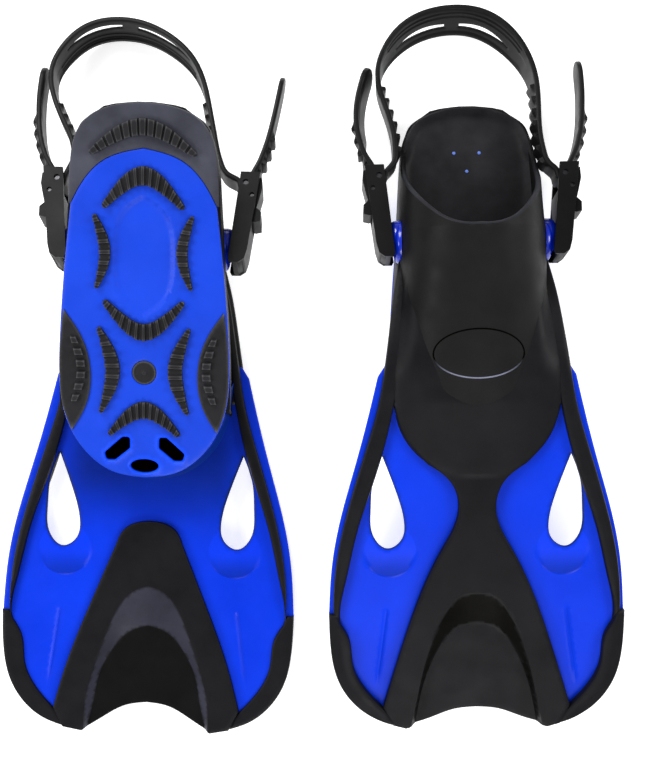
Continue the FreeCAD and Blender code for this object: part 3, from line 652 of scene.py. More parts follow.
SIDE_TREADS = (
    ([(34.5, 367), (29, 343), (33.5, 319)], [(30, 368.5), (21.6, 343), (29.5, 318)]),
    ([(32.5, 292), (25.7, 264), (31.5, 235)], [(28, 294), (16, 264), (27.5, 233)]),
)
SIDE_LUG = ([(50.4, 288), (44.6, 264), (50.4, 240.5)], [(44.6, 288), (38.8, 264), (44.6, 240.5)])

# ---------------------------------------------------------------- blade parts

BLADE_HALF = 1.5
RAIL_HALF = 7.0
RIDGE_TOP = 8.0
RIDGE_BOTTOM = -6.0
SKIRT_TOP = 5.0
MEMBRANE_HALF = 1.2


def both_sides(line):
    return [np.array([(side * x, y) for x, y in up_blade(line)]) for side in (1, -1)]


def nearness(x, y, lines, radius):
    """1 on the nearer of some open lines, falling to 0 at the radius."""
    return bump(nearest(np.column_stack([x, y]), [spline(line, 3) for line in lines], closed=False), radius)


def blade_shape():
    outline = symmetric(linked_up([CUTOUT_EDGE, HIDDEN_EDGE, SILHOUETTE[::-1], [(62.5, 256)], [(45, 262)],
                                   [(0, 262)]]))
    vents = [one_side([up_blade(VENT)], side) for side in (1, -1)]
    ribs = both_sides(BLADE_RIB)
    scoop_v = SCOOP_Y / math.cos(BLADE_ANGLE)
    turn = np.linspace(0, 2 * math.pi, 90)

    def scoop(x, v):
        """1 in the round hollow below each vent, with a crisp edge."""
        radius = np.hypot(np.abs(x) - SCOOP_X, v - scoop_v)
        return smooth_step(SCOOP_RADIUS + 0.45, SCOOP_RADIUS - 0.45, radius)

    def face(x, v):
        rib = nearness(x, v, ribs, 1.4) * smooth_step(28, 46, v)
        return BLADE_HALF + 0.9 * rib - 0.8 * scoop(x, v) * smooth_step(9, -14, v - scoop_v)

    def back(x, v):
        return -face(x, v)

    def shade(x, v, w):
        """Painted light high in the hollows and painted shade low in them, painted shade below the toe on the
        sole side, and a darker line round the vents.
        """
        near_toe = smooth_step(130, 185, along_ground(v)) * smooth_step(75, 45, np.abs(x))
        gap = nearest(np.column_stack([x, v]), vents)
        hollow = scoop(x, v) * (0.12 - 0.42 * smooth_step(2, -18, v - scoop_v))
        return hollow - np.where(w < 0, 0.45, 0.0) * near_toe - 0.75 * smooth_step(1.3, 0.2, gap)

    lines = []
    for line in ribs:
        fine = spline(line, 1.3)
        lines += [fine + np.array([shift, 0]) for shift in (-1.45, -0.6, 0, 0.6, 1.45)]
    for side, vent in zip((1, -1), vents):
        for radius in (SCOOP_RADIUS - 0.5, SCOOP_RADIUS + 0.5):
            ring = np.column_stack([side * SCOOP_X + radius * np.cos(turn), scoop_v + radius * np.sin(turn)])
            lines += clear_runs(ring, vent)
    return relief(outline, face, back, edge=0.9, spacing=2.4, holes=vents, lines=lines).with_painted_light(shade)


def clear_runs(ring, hole):
    """The stretches of a ring that stay clear of a hole."""
    clear = ~inside(ring, hole) & (distance_to(ring, hole) > 1.6)
    runs, run = [], []
    for point, free in zip(ring, clear):
        if free:
            run.append(point)
            continue
        if len(run) > 3:
            runs.append(np.array(run))
        run = []
    if len(run) > 3:
        runs.append(np.array(run))
    return runs


def shifted(line, distance):
    return [(x + distance, y) for x, y in line]


def rail_shape(side):
    """A side rail, narrower on the sole side, where a strip of the blade shows outside it."""

    def half_depth(x, v):
        """Lower where the rail meets the tip guard, and where it dies into the pocket's side."""
        y = along_ground(v)
        return RAIL_HALF - 3.3 * smooth_step(86, 74, y) - 2.0 * smooth_step(250, 300, y)

    def top(x, v):
        return half_depth(x, v) + sag(v)

    def bottom(x, v):
        return -half_depth(x, v) + sag(v)

    def middle(x, v):
        return sag(v)

    shape = Shape()
    for outer_shift, inner_shift, high, low in ((0, 0, top, middle), (-2.2, 1.6, middle, bottom)):
        outer, inner = shifted(RAIL_OUTER_EDGE, outer_shift), shifted(RAIL_INNER_EDGE, inner_shift)
        outline = one_side(linked_up([outer, inner, outer[:1]]), side)
        shape.add(relief(outline, high, low, edge=1.9, spacing=2.2))
    return shape


def sag(v):
    """How far the rails and the skirt drop from the blade's plane beside the foot pocket."""
    return -0.005 * np.clip(along_ground(v) - 245, 0, None) ** 2


def guard_shape(side):
    outline = one_side(linked_up([GUARD_INNER_EDGE, GUARD_OUTER_EDGE, [(98, 83.5)],
                                  GUARD_INNER_EDGE[:1]]), side)
    outer = spline([(side * x, y) for x, y in up_blade(GUARD_OUTER_EDGE)], 2)

    def top(x, v):
        """Nearly flush with the leg's ridge, and lower towards the outer edge."""
        rim = distance_to(np.column_stack([x, v]), outer, closed=False)
        return RIDGE_TOP - 0.15 - 1.6 * smooth_step(9, 1, rim) * smooth_step(62, 78, np.abs(x))

    return relief(outline, top, level(-4.0), edge=1.5, spacing=1.8)


def recess_depth(x, y, arch, shoulder):
    """0 outside the shoulder, 1 inside the arch, and a soft slope between them."""
    points = np.column_stack([x, y])
    inner, outer = (arch_loop(spline(up_blade(half), 2)) for half in (arch, shoulder))
    to_inner = distance_to(points, inner)
    to_outer = distance_to(points, outer)
    slope = to_outer / np.maximum(to_outer + to_inner, 1e-6)
    slope = np.where(inside(points, inner), 1.0, slope)
    return np.where(inside(points, outer), slope, 0.0)


def arch_loop(half):
    """A closed loop from half an arch, with feet that reach well below the blade's tip."""
    feet_at = -40
    return with_mirror(np.concatenate([[(0, feet_at), (half[0][0], feet_at)], half]))[:-1]


def arch_lines(arch, shoulder):
    return [with_mirror(spline(up_blade(half), 1.6)[2:]) for half in (arch, shoulder)]


# ---------------------------------------------------------------- foot pocket

# Distance along the foot and half width, and then, up to the opening, distance and level of the crown.
HALF_WIDTHS = [
    (180, 17), (185, 28), (190, 36.5), (198, 45), (210, 52.5), (226, 56.5), (246, 57.5), (270, 57), (300, 55),
    (322, 53), (347, 51.8), (366, 50.4), (382, 49.4), (396, 48.4), (409, 46.8), (420, 43.6), (429, 37.4),
    (435, 28.5), (439, 15), (440, 5),
]
CROWN_LEVELS = [(180, 45.5), (185, 48), (190, 50), (198, 53), (210, 57), (226, 62.5), (246, 69), (270, 75.5),
                (300, 83), (322, 89), (347, 95)]
# The opening's rim in side view: distance along the foot and level.
RIM = [(347, 95), (356, 87), (366, 75), (376, 58), (386, 39), (395, 25), (404, 18), (420, 14), (441, 13)]
SQUARENESS = 2.7
WALL = 4.0
POCKET_FLOOR = 8.0
NOSE_END = 236.0
RIM_HALF = 51.8         # half the pocket's width where its opening starts
LIP_STEPS = 9


def skin_level(y):
    """Level a little below the blade's middle, where the pocket meets it."""
    return BLADE_ROOT + BLADE_RISE * y - 1.0


def pocket_section(y):
    """Half width, base level and crown level of the pocket at distances along the foot."""
    widths, crowns = np.array(HALF_WIDTHS, float), np.array(CROWN_LEVELS, float)
    half = natural_spline(widths[:, 0], widths[:, 1:], y)[:, 0]
    base = np.where(y < NOSE_END, skin_level(y), POCKET_FLOOR)
    base = base + (POCKET_FLOOR - base) * smooth_step(NOSE_END - 14, NOSE_END, y)
    crown = natural_spline(crowns[:, 0], crowns[:, 1:], np.minimum(y, OPENING_FRONT))[:, 0]
    return half, base, crown


def pocket_point(y, angle):
    half, base, crown = pocket_section(y)
    power = 2 / SQUARENESS
    across = half * np.maximum(np.cos(angle), 0) ** power
    up = base + (crown - base) * np.maximum(np.sin(angle), 0) ** power
    return np.column_stack([across, y, up])


def arched(x, half, base, crown):
    """Level of the pocket's squared arch at x, between its base and its crown."""
    share = 1 - np.minimum(np.abs(x) / np.maximum(half, 1), 1) ** SQUARENESS
    return base + (crown - base) * share ** (1 / SQUARENESS)


def pocket_height(x, y):
    """Level of the pocket's outside above a point of the ground, or very low beside it."""
    half, _, crown = pocket_section(np.clip(y, HALF_WIDTHS[0][0], HALF_WIDTHS[-1][0]))
    base = skin_level(y) + (POCKET_FLOOR - skin_level(y)) * smooth_step(246, 302, y)
    beside = (np.abs(x) >= half) | (y < HALF_WIDTHS[0][0])
    return np.where(beside, -50.0, arched(x, half, base, crown))


LABEL_Y = 263.0         # the empty oval on the pocket's crown
LABEL_HALF_WIDTH = 30.5
LABEL_HALF_LENGTH = 16.4
BEAD_HALF = 0.5


def label_rim_shape():
    """A thin bead round an oval of the crown, with painted shade on its upper side and a painted highlight on
    its lower one.
    """
    outer, inner = (ellipse(0, LABEL_Y, LABEL_HALF_WIDTH + grow, LABEL_HALF_LENGTH + grow, 150)
                    for grow in (BEAD_HALF, -BEAD_HALF))

    def crown_level(x, y):
        return arched(x, *pocket_section(y))

    bead = relief(outer, lambda x, y: crown_level(x, y) + 0.3, lambda x, y: crown_level(x, y) - 1.2,
                  edge=0.3, spacing=1.0, holes=[inner])
    glint_from, glint_full = LABEL_Y - 4, LABEL_Y - 16
    return bead.with_painted_light(lambda x, y, z: 28.0 * smooth_step(glint_from, glint_full, y) - 0.9 * (y > glint_from))


def rim_rows():
    """Distances along the foot at which the rim is about evenly divided."""
    side_view = spline(RIM, 0.5)
    levels = arched(np.arange(0, 46, 2.0), RIM_HALF, POCKET_FLOOR, POCKET_CROWN)
    lip = np.interp(-levels, -side_view[:, 1], side_view[:, 0])
    rest = np.arange(lip[-1] + 2, 438, 2.0)
    return np.concatenate([lip, rest, [438.5, 439.4, 440.0]])


def pocket_normal(y, angle):
    """Which way the pocket's outside faces, found from points close by."""
    small = 1e-3
    safe = np.clip(angle, 0.02, math.pi / 2)
    around = pocket_point(y, np.clip(safe + small, 0, math.pi / 2 + small)) - pocket_point(y, safe - small)
    around[:, 0] = np.where(safe > math.pi / 2 - 1e-6, -1.0, around[:, 0])
    around[:, 2] = np.where(safe > math.pi / 2 - 1e-6, 0.0, around[:, 2])
    near = np.clip(y, 181, 439.9)
    along = pocket_point(near + 0.05, safe) - pocket_point(near - 0.05, safe)
    normal = unit(np.cross(along, around))
    normal[normal[:, 0] < -0.2] *= -1
    return normal


def pocket_shell():
    """The pocket's outside and inside, joined round the opening by a rounded lip."""
    front = np.concatenate([np.arange(181, 200, 1.5), np.arange(200, OPENING_FRONT - 1, 2.4)])
    rows = np.concatenate([front, rim_rows()])
    side_view = spline(RIM, 0.5)
    rim_level = np.interp(rows, side_view[:, 0], side_view[:, 1])
    _, base, crown = pocket_section(rows)
    share = np.clip((rim_level - base) / (crown - base), 0, 1) ** (SQUARENESS / 2)
    last_angle = np.where(rows < OPENING_FRONT, math.pi / 2, np.arcsin(share))
    columns = 34
    steps = np.linspace(0, 1, columns) ** 1.15
    angle = (last_angle[:, None] * steps[None]).ravel()
    y = np.repeat(rows, columns)
    outside = pocket_point(y, angle)
    inner = outside - WALL * pocket_normal(y, angle)
    inner[:, 0] = np.maximum(inner[:, 0], 0)
    inner[:, 2] = np.maximum(inner[:, 2], np.where(outside[:, 2] < POCKET_FLOOR + 0.5, POCKET_FLOOR, -100))
    count = len(rows)
    outside = outside.reshape(count, columns, 3)
    inner = inner.reshape(count, columns, 3)
    lip_from = len(front)
    shell = Shape()
    flip = np.array([-1, 1, 1])
    rim_strip = lip_strip(outside, inner, lip_from)
    for sense in (1, -1):
        def oriented(faces, outward):
            return faces if outward == sense else flipped(faces)
        turn = np.ones(3) if sense == 1 else flip
        shell.add(Shape(outside.reshape(-1, 3) * turn, oriented(grid_faces(count, columns), -1)))
        shell.add(Shape(inner.reshape(-1, 3) * turn, oriented(grid_faces(count, columns), 1)))
        strip = Shape(rim_strip * turn, oriented(grid_faces(count - lip_from, LIP_STEPS), -1))
        # A painted highlight along the lip where it stands high.
        shell.add(strip.with_painted_light(lambda x, y, z: 1.6 * smooth_step(20, 40, z)))
        foot = np.stack([outside[:, 0], inner[:, 0]], axis=1)
        shell.add(Shape(foot.reshape(-1, 3) * turn, oriented(grid_faces(count, 2), 1)))
    for last_row in (outside[-1], inner[-1], rim_strip.reshape(-1, LIP_STEPS, 3)[-1]):
        shell.add(heel_bridge(last_row, flip))
    return shell


def lip_strip(outside, inner, lip_from):
    """A half-round strip over the cut edge between the pocket's outside and inside."""
    out, back = outside[lip_from:, -1], inner[lip_from:, -1]
    centre = (out + back) / 2
    across = (out - back) / 2
    along = np.gradient(centre, axis=0)
    along[0] = (1, 0, 0)
    bulge = unit(np.cross(across, along))
    fullness = 0.8 - 0.7 * smooth_step(398, 410, centre[:, 1])
    radius = np.linalg.norm(across, axis=1)[:, None] * fullness[:, None]
    strip = [centre + across * math.cos(angle) + bulge * radius * math.sin(angle)
             for angle in np.linspace(0, math.pi, LIP_STEPS)]
    return np.stack(strip, axis=1).reshape(-1, 3)


def heel_bridge(row, flip):
    """Closes the narrow gap between the two sides at the back of the heel."""
    points = np.stack([row, row * flip], axis=1).reshape(-1, 3)
    return Shape(points, grid_faces(len(row), 2))


def pocket_shape():
    shell = pocket_shell()
    heel_side = [HEEL_SIDE, [(49.3, 374), (47.7, 374)], list(reversed(SOLE_HEEL_ARCH))]
    heel_floor = relief(symmetric(heel_side), level(9.5), level(4.0), edge=1.3, spacing=2.5)
    # Painted sheen, much lighter, on the heel floor's lower face.
    shell.add(heel_floor.with_painted_light(lambda x, y, z: 6.5 * smooth_step(7, 4.5, z)))
    return shell


def moulding_top(x, v):
    """Height over the blade of the black centre: legs, neck and the skirt that climbs the pocket."""
    y = along_ground(v)
    shoulder = recess_depth(x, v, RECESS_ARCH, RECESS_SHOULDER)
    ridge = RIDGE_TOP - (RIDGE_TOP - SKIRT_TOP) * smooth_step(165, 215, y)
    flat = ridge - (ridge - MEMBRANE_HALF) * shoulder + sag(v)
    raised = y - RIDGE_TOP * math.sin(BLADE_ANGLE)
    pocket = (pocket_height(x, raised) - BLADE_ROOT - BLADE_RISE * raised) * math.cos(BLADE_ANGLE)
    climb = smooth_max(flat, pocket, 9.0)
    under_crown = 4.0 * smooth_step(47, 34, np.abs(x)) * smooth_step(230, 241, raised)
    under = (1.2 + under_crown) * smooth_step(4, 14, pocket - flat)
    return np.where(pocket > -40, climb - under, flat)


def centre_shape(notch):
    """The black centre: its top over the blade and up the pocket, and its underside below the cut-out."""
    leg_end = [(59, 2.5)]
    top_outline = symmetric(linked_up([[(0, 318), (46, 318)], [(46, 318), (52, 288), (57, 256), (60, 229)],
                                       SKIRT_EDGE[::-1], NECK_EDGE[::-1], leg_end, notch]))
    lines = arch_lines(RECESS_ARCH, RECESS_SHOULDER)

    def underside(x, v):
        """Inside the blade, but over its face in the corners between the pocket and the rails."""
        return -0.4 - 2.2 * smooth_step(228, 232, along_ground(v)) + sag(v)

    # Painted shade on the sloped band round the recess on the top side.
    def top_shade(x, v, w):
        slope = recess_depth(x, v, RECESS_ARCH, RECESS_SHOULDER)
        return -0.62 * (slope > 0.02) * (slope < 0.98)

    def sole_shade(x, v, w):
        """Painted light on the sloped band round the recess and painted shade on the membrane inside it, on
        the sole side only.
        """
        slope = recess_depth(x, v, SOLE_RECESS_ARCH, SOLE_RECESS_SHOULDER)
        band = 3.8 * smooth_step(0.0, 0.06, slope) * smooth_step(1.0, 0.94, slope)
        return np.where(w < -0.5, band - 0.4 * (slope > 0.97), 0)

    shape = relief(top_outline, moulding_top, underside, edge=1.2, spacing=2.2, lines=lines).with_painted_light(top_shade)
    sole_outline = symmetric(linked_up([CHANNEL_APEX[::-1], CHANNEL_EDGE[::-1], leg_end, notch]))

    def sole_face(x, v):
        slope = recess_depth(x, v, SOLE_RECESS_ARCH, SOLE_RECESS_SHOULDER)
        return RIDGE_BOTTOM + (-MEMBRANE_HALF - RIDGE_BOTTOM) * slope

    sole_lines = arch_lines(SOLE_RECESS_ARCH, SOLE_RECESS_SHOULDER)
    sole_half = relief(sole_outline, level(0.4), sole_face, edge=1.2, spacing=2.2, lines=sole_lines)
    return shape.add(sole_half.with_painted_light(sole_shade))


# ---------------------------------------------------------------- sole parts


SOLE_LEVEL = 4.0
PLUG_Y = 262.3
PLUG_RADIUS = 8.0


def rounded_polygon(corners, radius):
    """A closed polygon with its corners rounded."""
    middle = (np.array(corners[0], float) + np.array(corners[-1], float)) / 2
    route = [tuple(middle)] + [(x, y, radius) for x, y in corners] + [tuple(middle)]
    return rounded_route(route, 0.5)[:-1]


def sole_shape():
    outline = symmetric([SOLE_HEEL_ARCH, SOLE_SIDE])
    oval = symmetric([RECESSED_OVAL])
    slot = rounded_polygon(DRAIN_SLOT, 1.9)
    drains = [slot, slot * np.array([-1, 1]), ellipse(0, 197.2, 9.5, 4.8, 40)]
    holes = drains + [ellipse(0, PLUG_Y, PLUG_RADIUS, PLUG_RADIUS, 40)]

    def under(x, y):
        points = np.column_stack([x, y])
        gap = distance_to(points, oval) * np.where(inside(points, oval), 1, -1)
        raised = 0.35 * bump(gap + 1.0, 1.4) + 0.5 * bump(nearest(points, drains) - 1.0, 1.1)
        return SOLE_LEVEL + 1.5 * smooth_step(-0.4, 2.0, gap) - raised

    def shade(x, y, z):
        """A painted highlight round the drain slots on the tread side, and painted shade inside them."""
        rim = nearest(np.column_stack([x, y]), drains)
        return np.where(z < 5.6, 0.9 * bump(rim - 0.5, 0.8), -0.9 * (rim < 0.1))

    return relief(outline, level(8.0), under, edge=1.0, spacing=2.4, holes=holes, lines=[oval]).with_painted_light(shade)


SOLE_TOE = [(56.2, 248), (52.4, 229), (46.5, 216), (38.5, 206), (29, 198.5), (18, 192.5), (9, 190),
            (0, 189.2)]
FAIRING_TOP = [(57.6, 246), (55.5, 228), (52, 212.5), (45.5, 199.5), (36, 189), (23, 181), (11, 177.8),
               (0, 177)]


def toe_fairing_shape():
    """The blue wall that rises from the sole's toe end and flares into the blade."""
    share = np.linspace(0, 1, 60)
    low, high = (with_mirror(read_at(share, np.linspace(0, 1, len(line)), line))
                 for line in (spline(SOLE_TOE, 1.6), spline(FAIRING_TOP, 1.6)))
    bottom = np.column_stack([low, np.full(len(low), 6.0)])
    top = np.column_stack([high, skin_level(high[:, 1])])
    knee = bottom + (top - bottom) * np.array([0.12, 0.12, 0.78])
    rows = [(1 - t) ** 2 * bottom + 2 * t * (1 - t) * knee + t * t * top for t in np.linspace(0, 1, 15)]
    inside_rows = [row * np.array([0.97, 1, 1]) + np.array([0, 2.5, 0]) for row in (rows[-1], rows[0])]
    rows = np.stack(rows + inside_rows + [rows[0]])
    fairing = Shape(rows.reshape(-1, 3), grid_faces(len(rows), rows.shape[1]))
    # Painted shade, darker up the wall towards the blade.
    return fairing.with_painted_light(lambda x, y, z: -0.45 * smooth_step(8, 26, z))


def plug_shape():
    outline = ellipse(0, PLUG_Y, PLUG_RADIUS, PLUG_RADIUS, 56)

    def under(x, y):
        radius = np.hypot(x, y - PLUG_Y)
        return 3.4 - 0.7 * smooth_step(2.6, 1.6, radius) + 0.4 * bump(radius - 5.5, 1.2)

    return relief(outline, level(8.0), under, edge=1.0, spacing=0.9)


def tread(edges, side, ribs, share, low, high=4.0, root=4.6):
    """A crescent bar across the sole, with raised ribs over share of each pitch."""
    at = np.linspace(0, 1, ribs * 14 + 1)
    curves = [spline([(side * x, y) for x, y in edge], 1.0) for edge in edges]
    one, two = (read_at(at, np.linspace(0, 1, len(curve)), curve) for curve in curves)
    middle, across = (one + two) / 2, (two - one) / 2
    slim = 0.45 + 0.55 * np.sin(math.pi * at) ** 0.7
    across = across * np.minimum(slim * 1.12, 1)[:, None]
    half = np.linalg.norm(across, axis=1)
    length = np.linalg.norm(np.diff(middle, axis=0), axis=1).sum()
    to_end = np.minimum(at, 1 - at) * length
    round_off = np.sqrt(np.clip(1 - (1 - np.clip(to_end / half, 0, 1)) ** 2, 0, 1))
    round_off = np.maximum(round_off, 0.05)
    phase = np.abs((at * ribs) % 1 - 0.5) * 2
    rib = smooth_step(share + 0.12, share - 0.12, phase)
    depth = low + (high - low) * rib
    depth = depth * (0.35 + 0.65 * round_off)
    columns = [-1.0, -1.0, -0.95, -0.82, -0.5, 0.0, 0.5, 0.82, 0.95, 1.0, 1.0]
    inset = [0.0, 0.75, 0.28, 0.0, 0.0, 0.0, 0.0, 0.0, 0.28, 0.75, 0.0]
    points = np.empty((len(at), len(columns), 3))
    for j, (place, fall) in enumerate(zip(columns, inset)):
        points[:, j, :2] = middle + across * (place * round_off)[:, None]
        points[:, j, 2] = SOLE_LEVEL - depth + fall
        if j in (0, len(columns) - 1):
            points[:, j, 2] = root
    heading = middle[1] - middle[0]
    last = (len(at) - 1) * len(columns)
    faces = grid_faces(len(at), len(columns))
    faces += [tuple(range(len(columns)))[::-1], tuple(last + j for j in range(len(columns)))]
    if across[0][0] * heading[1] > across[0][1] * heading[0]:
        faces = flipped(faces)
    return Shape(points.reshape(-1, 3), faces)


def tread_bars_shape():
    shape = Shape()
    for edges in CROSS_TREADS:
        shape.add(tread(edges, 1, 11, 0.45, 2.2))
    for edges, ribs in zip(SIDE_TREADS, (7, 8)):
        for side in (1, -1):
            shape.add(tread(edges, side, ribs, 0.42, 2.2))
    return shape


def side_grips_shape():
    shape = Shape()
    for side in (1, -1):
        outline = one_side([SIDE_GRIP_INNER, SIDE_GRIP_OUTER], side)
        shape.add(relief(outline, level(4.4), level(2.5), edge=0.9, spacing=2.4))
        shape.add(tread(SIDE_LUG, side, 6, 0.62, 1.2))
    return shape


def footbed_shape():
    outline = symmetric([FOOTBED_EDGE])

    side_view = spline(RIM, 1)

    def top(x, y):
        """Turned up along the walls, and over the pocket's low rim at the heel."""
        rim = distance_to(np.column_stack([x, y]), outline)
        wall = np.interp(y, side_view[:, 0], side_view[:, 1])
        over = smooth_step(398, 410, y)
        return 10.5 + 3.0 * bump(rim, 6.0) * (1 - over) + over * (wall - 9.0) * smooth_step(8, 0.5, rim)

    # Painted shade on the footbed's underside and the lower half of its rounded rim.
    return relief(outline, top, level(8.2), edge=1.0, spacing=2.8).with_painted_light(lambda x, y, z: -1.0 * (z < 9.4))


DOTS = ((-9, 407), (9, 407), (0, 394))
DOT_RADIUS = 1.25


def dots_shape():
    """Three small pegs of the sole that show through the footbed."""
    shape = Shape()
    for x, y in DOTS:
        outline = ellipse(x, y, DOT_RADIUS, DOT_RADIUS, 20)
        shape.add(relief(outline, level(11.2), level(8.0), edge=0.6, spacing=0.6))
    return shape


# ---------------------------------------------------------------- strap

BAR_X = 64.0
BAR_U = 41.0
BEND = 4.05
STRAP_HALF = 1.75
STRAP_WIDTH = 21.0
BAND_WIDTH = 29.0
RIGHT_LOOP = [
    (51, 52), (47.6, 73.5), (48.5, 93.7), (48.3, 114), (41, 133), (29, 149), (12, 160.5), (-8.4, 163),
    (-28.6, 160), (-46.8, 151), (-59, 135), (-66.5, 116), (-59.5, 96), (-52.9, 77), (-50.5, 54),
]
RIGHT_TAILS = ([(77.6, 125), (79.6, 103), (76.8, 66)], [(-78.4, 66), (-80.5, 92), (-70.8, 123)])
LEFT_LOOP = [
    (51, 64), (62.9, 82.7), (72, 102), (77.3, 122.7), (66.6, 141.6), (52, 157.3), (31, 161.6), (9.8, 158.7),
    (-8.8, 148), (-24.3, 134), (-33.3, 114.4), (-37.3, 93.6), (-42, 73), (-45.8, 51),
]
LEFT_TAILS = ([(80, 128), (82.4, 103), (78.6, 66)], [(-76.2, 66), (-81.6, 93), (-86.6, 125)])

TEETH_PITCH = 8.8
TEETH_HEIGHT = 2.7
TEETH_HALF = 8.0
TIP_TO_TEETH = 37.0
TEETH_FROM_BAR = 15.0
TOOTH = ((0.0, 0.0), (0.62, 1.0), (0.86, 1.0), (0.92, 0.0))        # share of the pitch, share of the height
SLOT_TOP = [(5.8, -3.2), (26, -1.8), (50, -4.6)]      # along the band from its middle, and across
SLOT_LOW = [(50, -4.6), (26, -6.3), (5.8, -6.3)]


def rounded_route(corners, step=0.5):
    """Points along straight runs joined by tangent arcs. A corner's third value is its radius."""
    places = [np.array(corner[:2], float) for corner in corners]
    line = [places[0]]
    for i in range(1, len(places) - 1):
        before, after = places[i - 1] - places[i], places[i + 1] - places[i]
        long_before, long_after = np.linalg.norm(before), np.linalg.norm(after)
        before, after = before / long_before, after / long_after
        turn = math.pi - math.acos(max(-1.0, min(1.0, float(before @ after))))
        if turn < 1e-3:
            continue
        shorter = min(long_before, long_after)
        radius = corners[i][2] if len(corners[i]) > 2 else 0.45 * shorter / math.tan(turn / 2)
        reach = radius * math.tan(turn / 2)
        bisector = (before + after) / np.linalg.norm(before + after)
        centre = places[i] + bisector * math.hypot(radius, reach)
        start, end = places[i] + before * reach - centre, places[i] + after * reach - centre
        for share in np.linspace(0, 1, max(3, int(radius * turn / step))):
            swing = math.sin((1 - share) * turn) * start + math.sin(share * turn) * end
            line.append(centre + swing / math.sin(turn))
    line.append(places[-1])
    return evenly(np.array(line), step)


def evenly(line, step):
    along = np.concatenate([[0], np.cumsum(np.linalg.norm(np.diff(line, axis=0), axis=1))])
    fine = np.linspace(0, along[-1], int(along[-1] / step) + 1)
    return read_at(fine, along, line)


def softened(line, step=0.5, reach=9.0):
    """The same line with its bends eased, except close to the two buckle bars."""
    shares = np.arange(-3 * reach, 3 * reach + step, step)
    weights = np.exp(-0.5 * (shares / reach) ** 2)
    weights /= weights.sum()
    margin = len(weights) // 2
    head = 2 * line[0] - line[margin:0:-1]
    foot = 2 * line[-1] - line[-2:-margin - 2:-1]
    longer = np.concatenate([head, line, foot])
    eased = np.column_stack([np.convolve(longer[:, i], weights, mode="valid") for i in (0, 1)])
    bars = np.array([(BAR_X, BAR_U), (-BAR_X, BAR_U)])
    gap = np.linalg.norm(line[:, None] - bars[None], axis=2).min(axis=1)
    share = smooth_step(10, 30, gap)[:, None]
    return line * (1 - share) + eased * share


def strap_line(loop, tails):
    low, out, back = BAR_U - BEND, BAR_X + BEND, BAR_X - BEND
    bar = [(out, low, BEND), (back, low, BEND)]
    far_bar = [(-x, y, r) for x, y, r in reversed(bar)]
    corners = list(tails[0]) + [(out, 49), (out, 45.5)] + bar + [(back, 44)] + list(loop)
    corners += [(-back, 44)] + far_bar + [(-out, 45.5), (-out, 49)] + list(tails[1])
    return evenly(softened(rounded_route(corners)), 0.5)


def tooth_starts(at_bar, length, last_tooth):
    """Where along the strap its teeth start, on the tails and in the loop but not round the bars."""
    teeth = []
    for side, bar, last in zip((1, -1), at_bar, last_tooth):
        outermost = TIP_TO_TEETH if side == 1 else length - TIP_TO_TEETH
        reach = side * TEETH_FROM_BAR
        for span in ((outermost, bar - reach), (bar + reach, bar + side * last)):
            teeth += list(np.arange(min(span), max(span) - TEETH_PITCH + 0.5, TEETH_PITCH))
    return np.array(sorted(teeth))


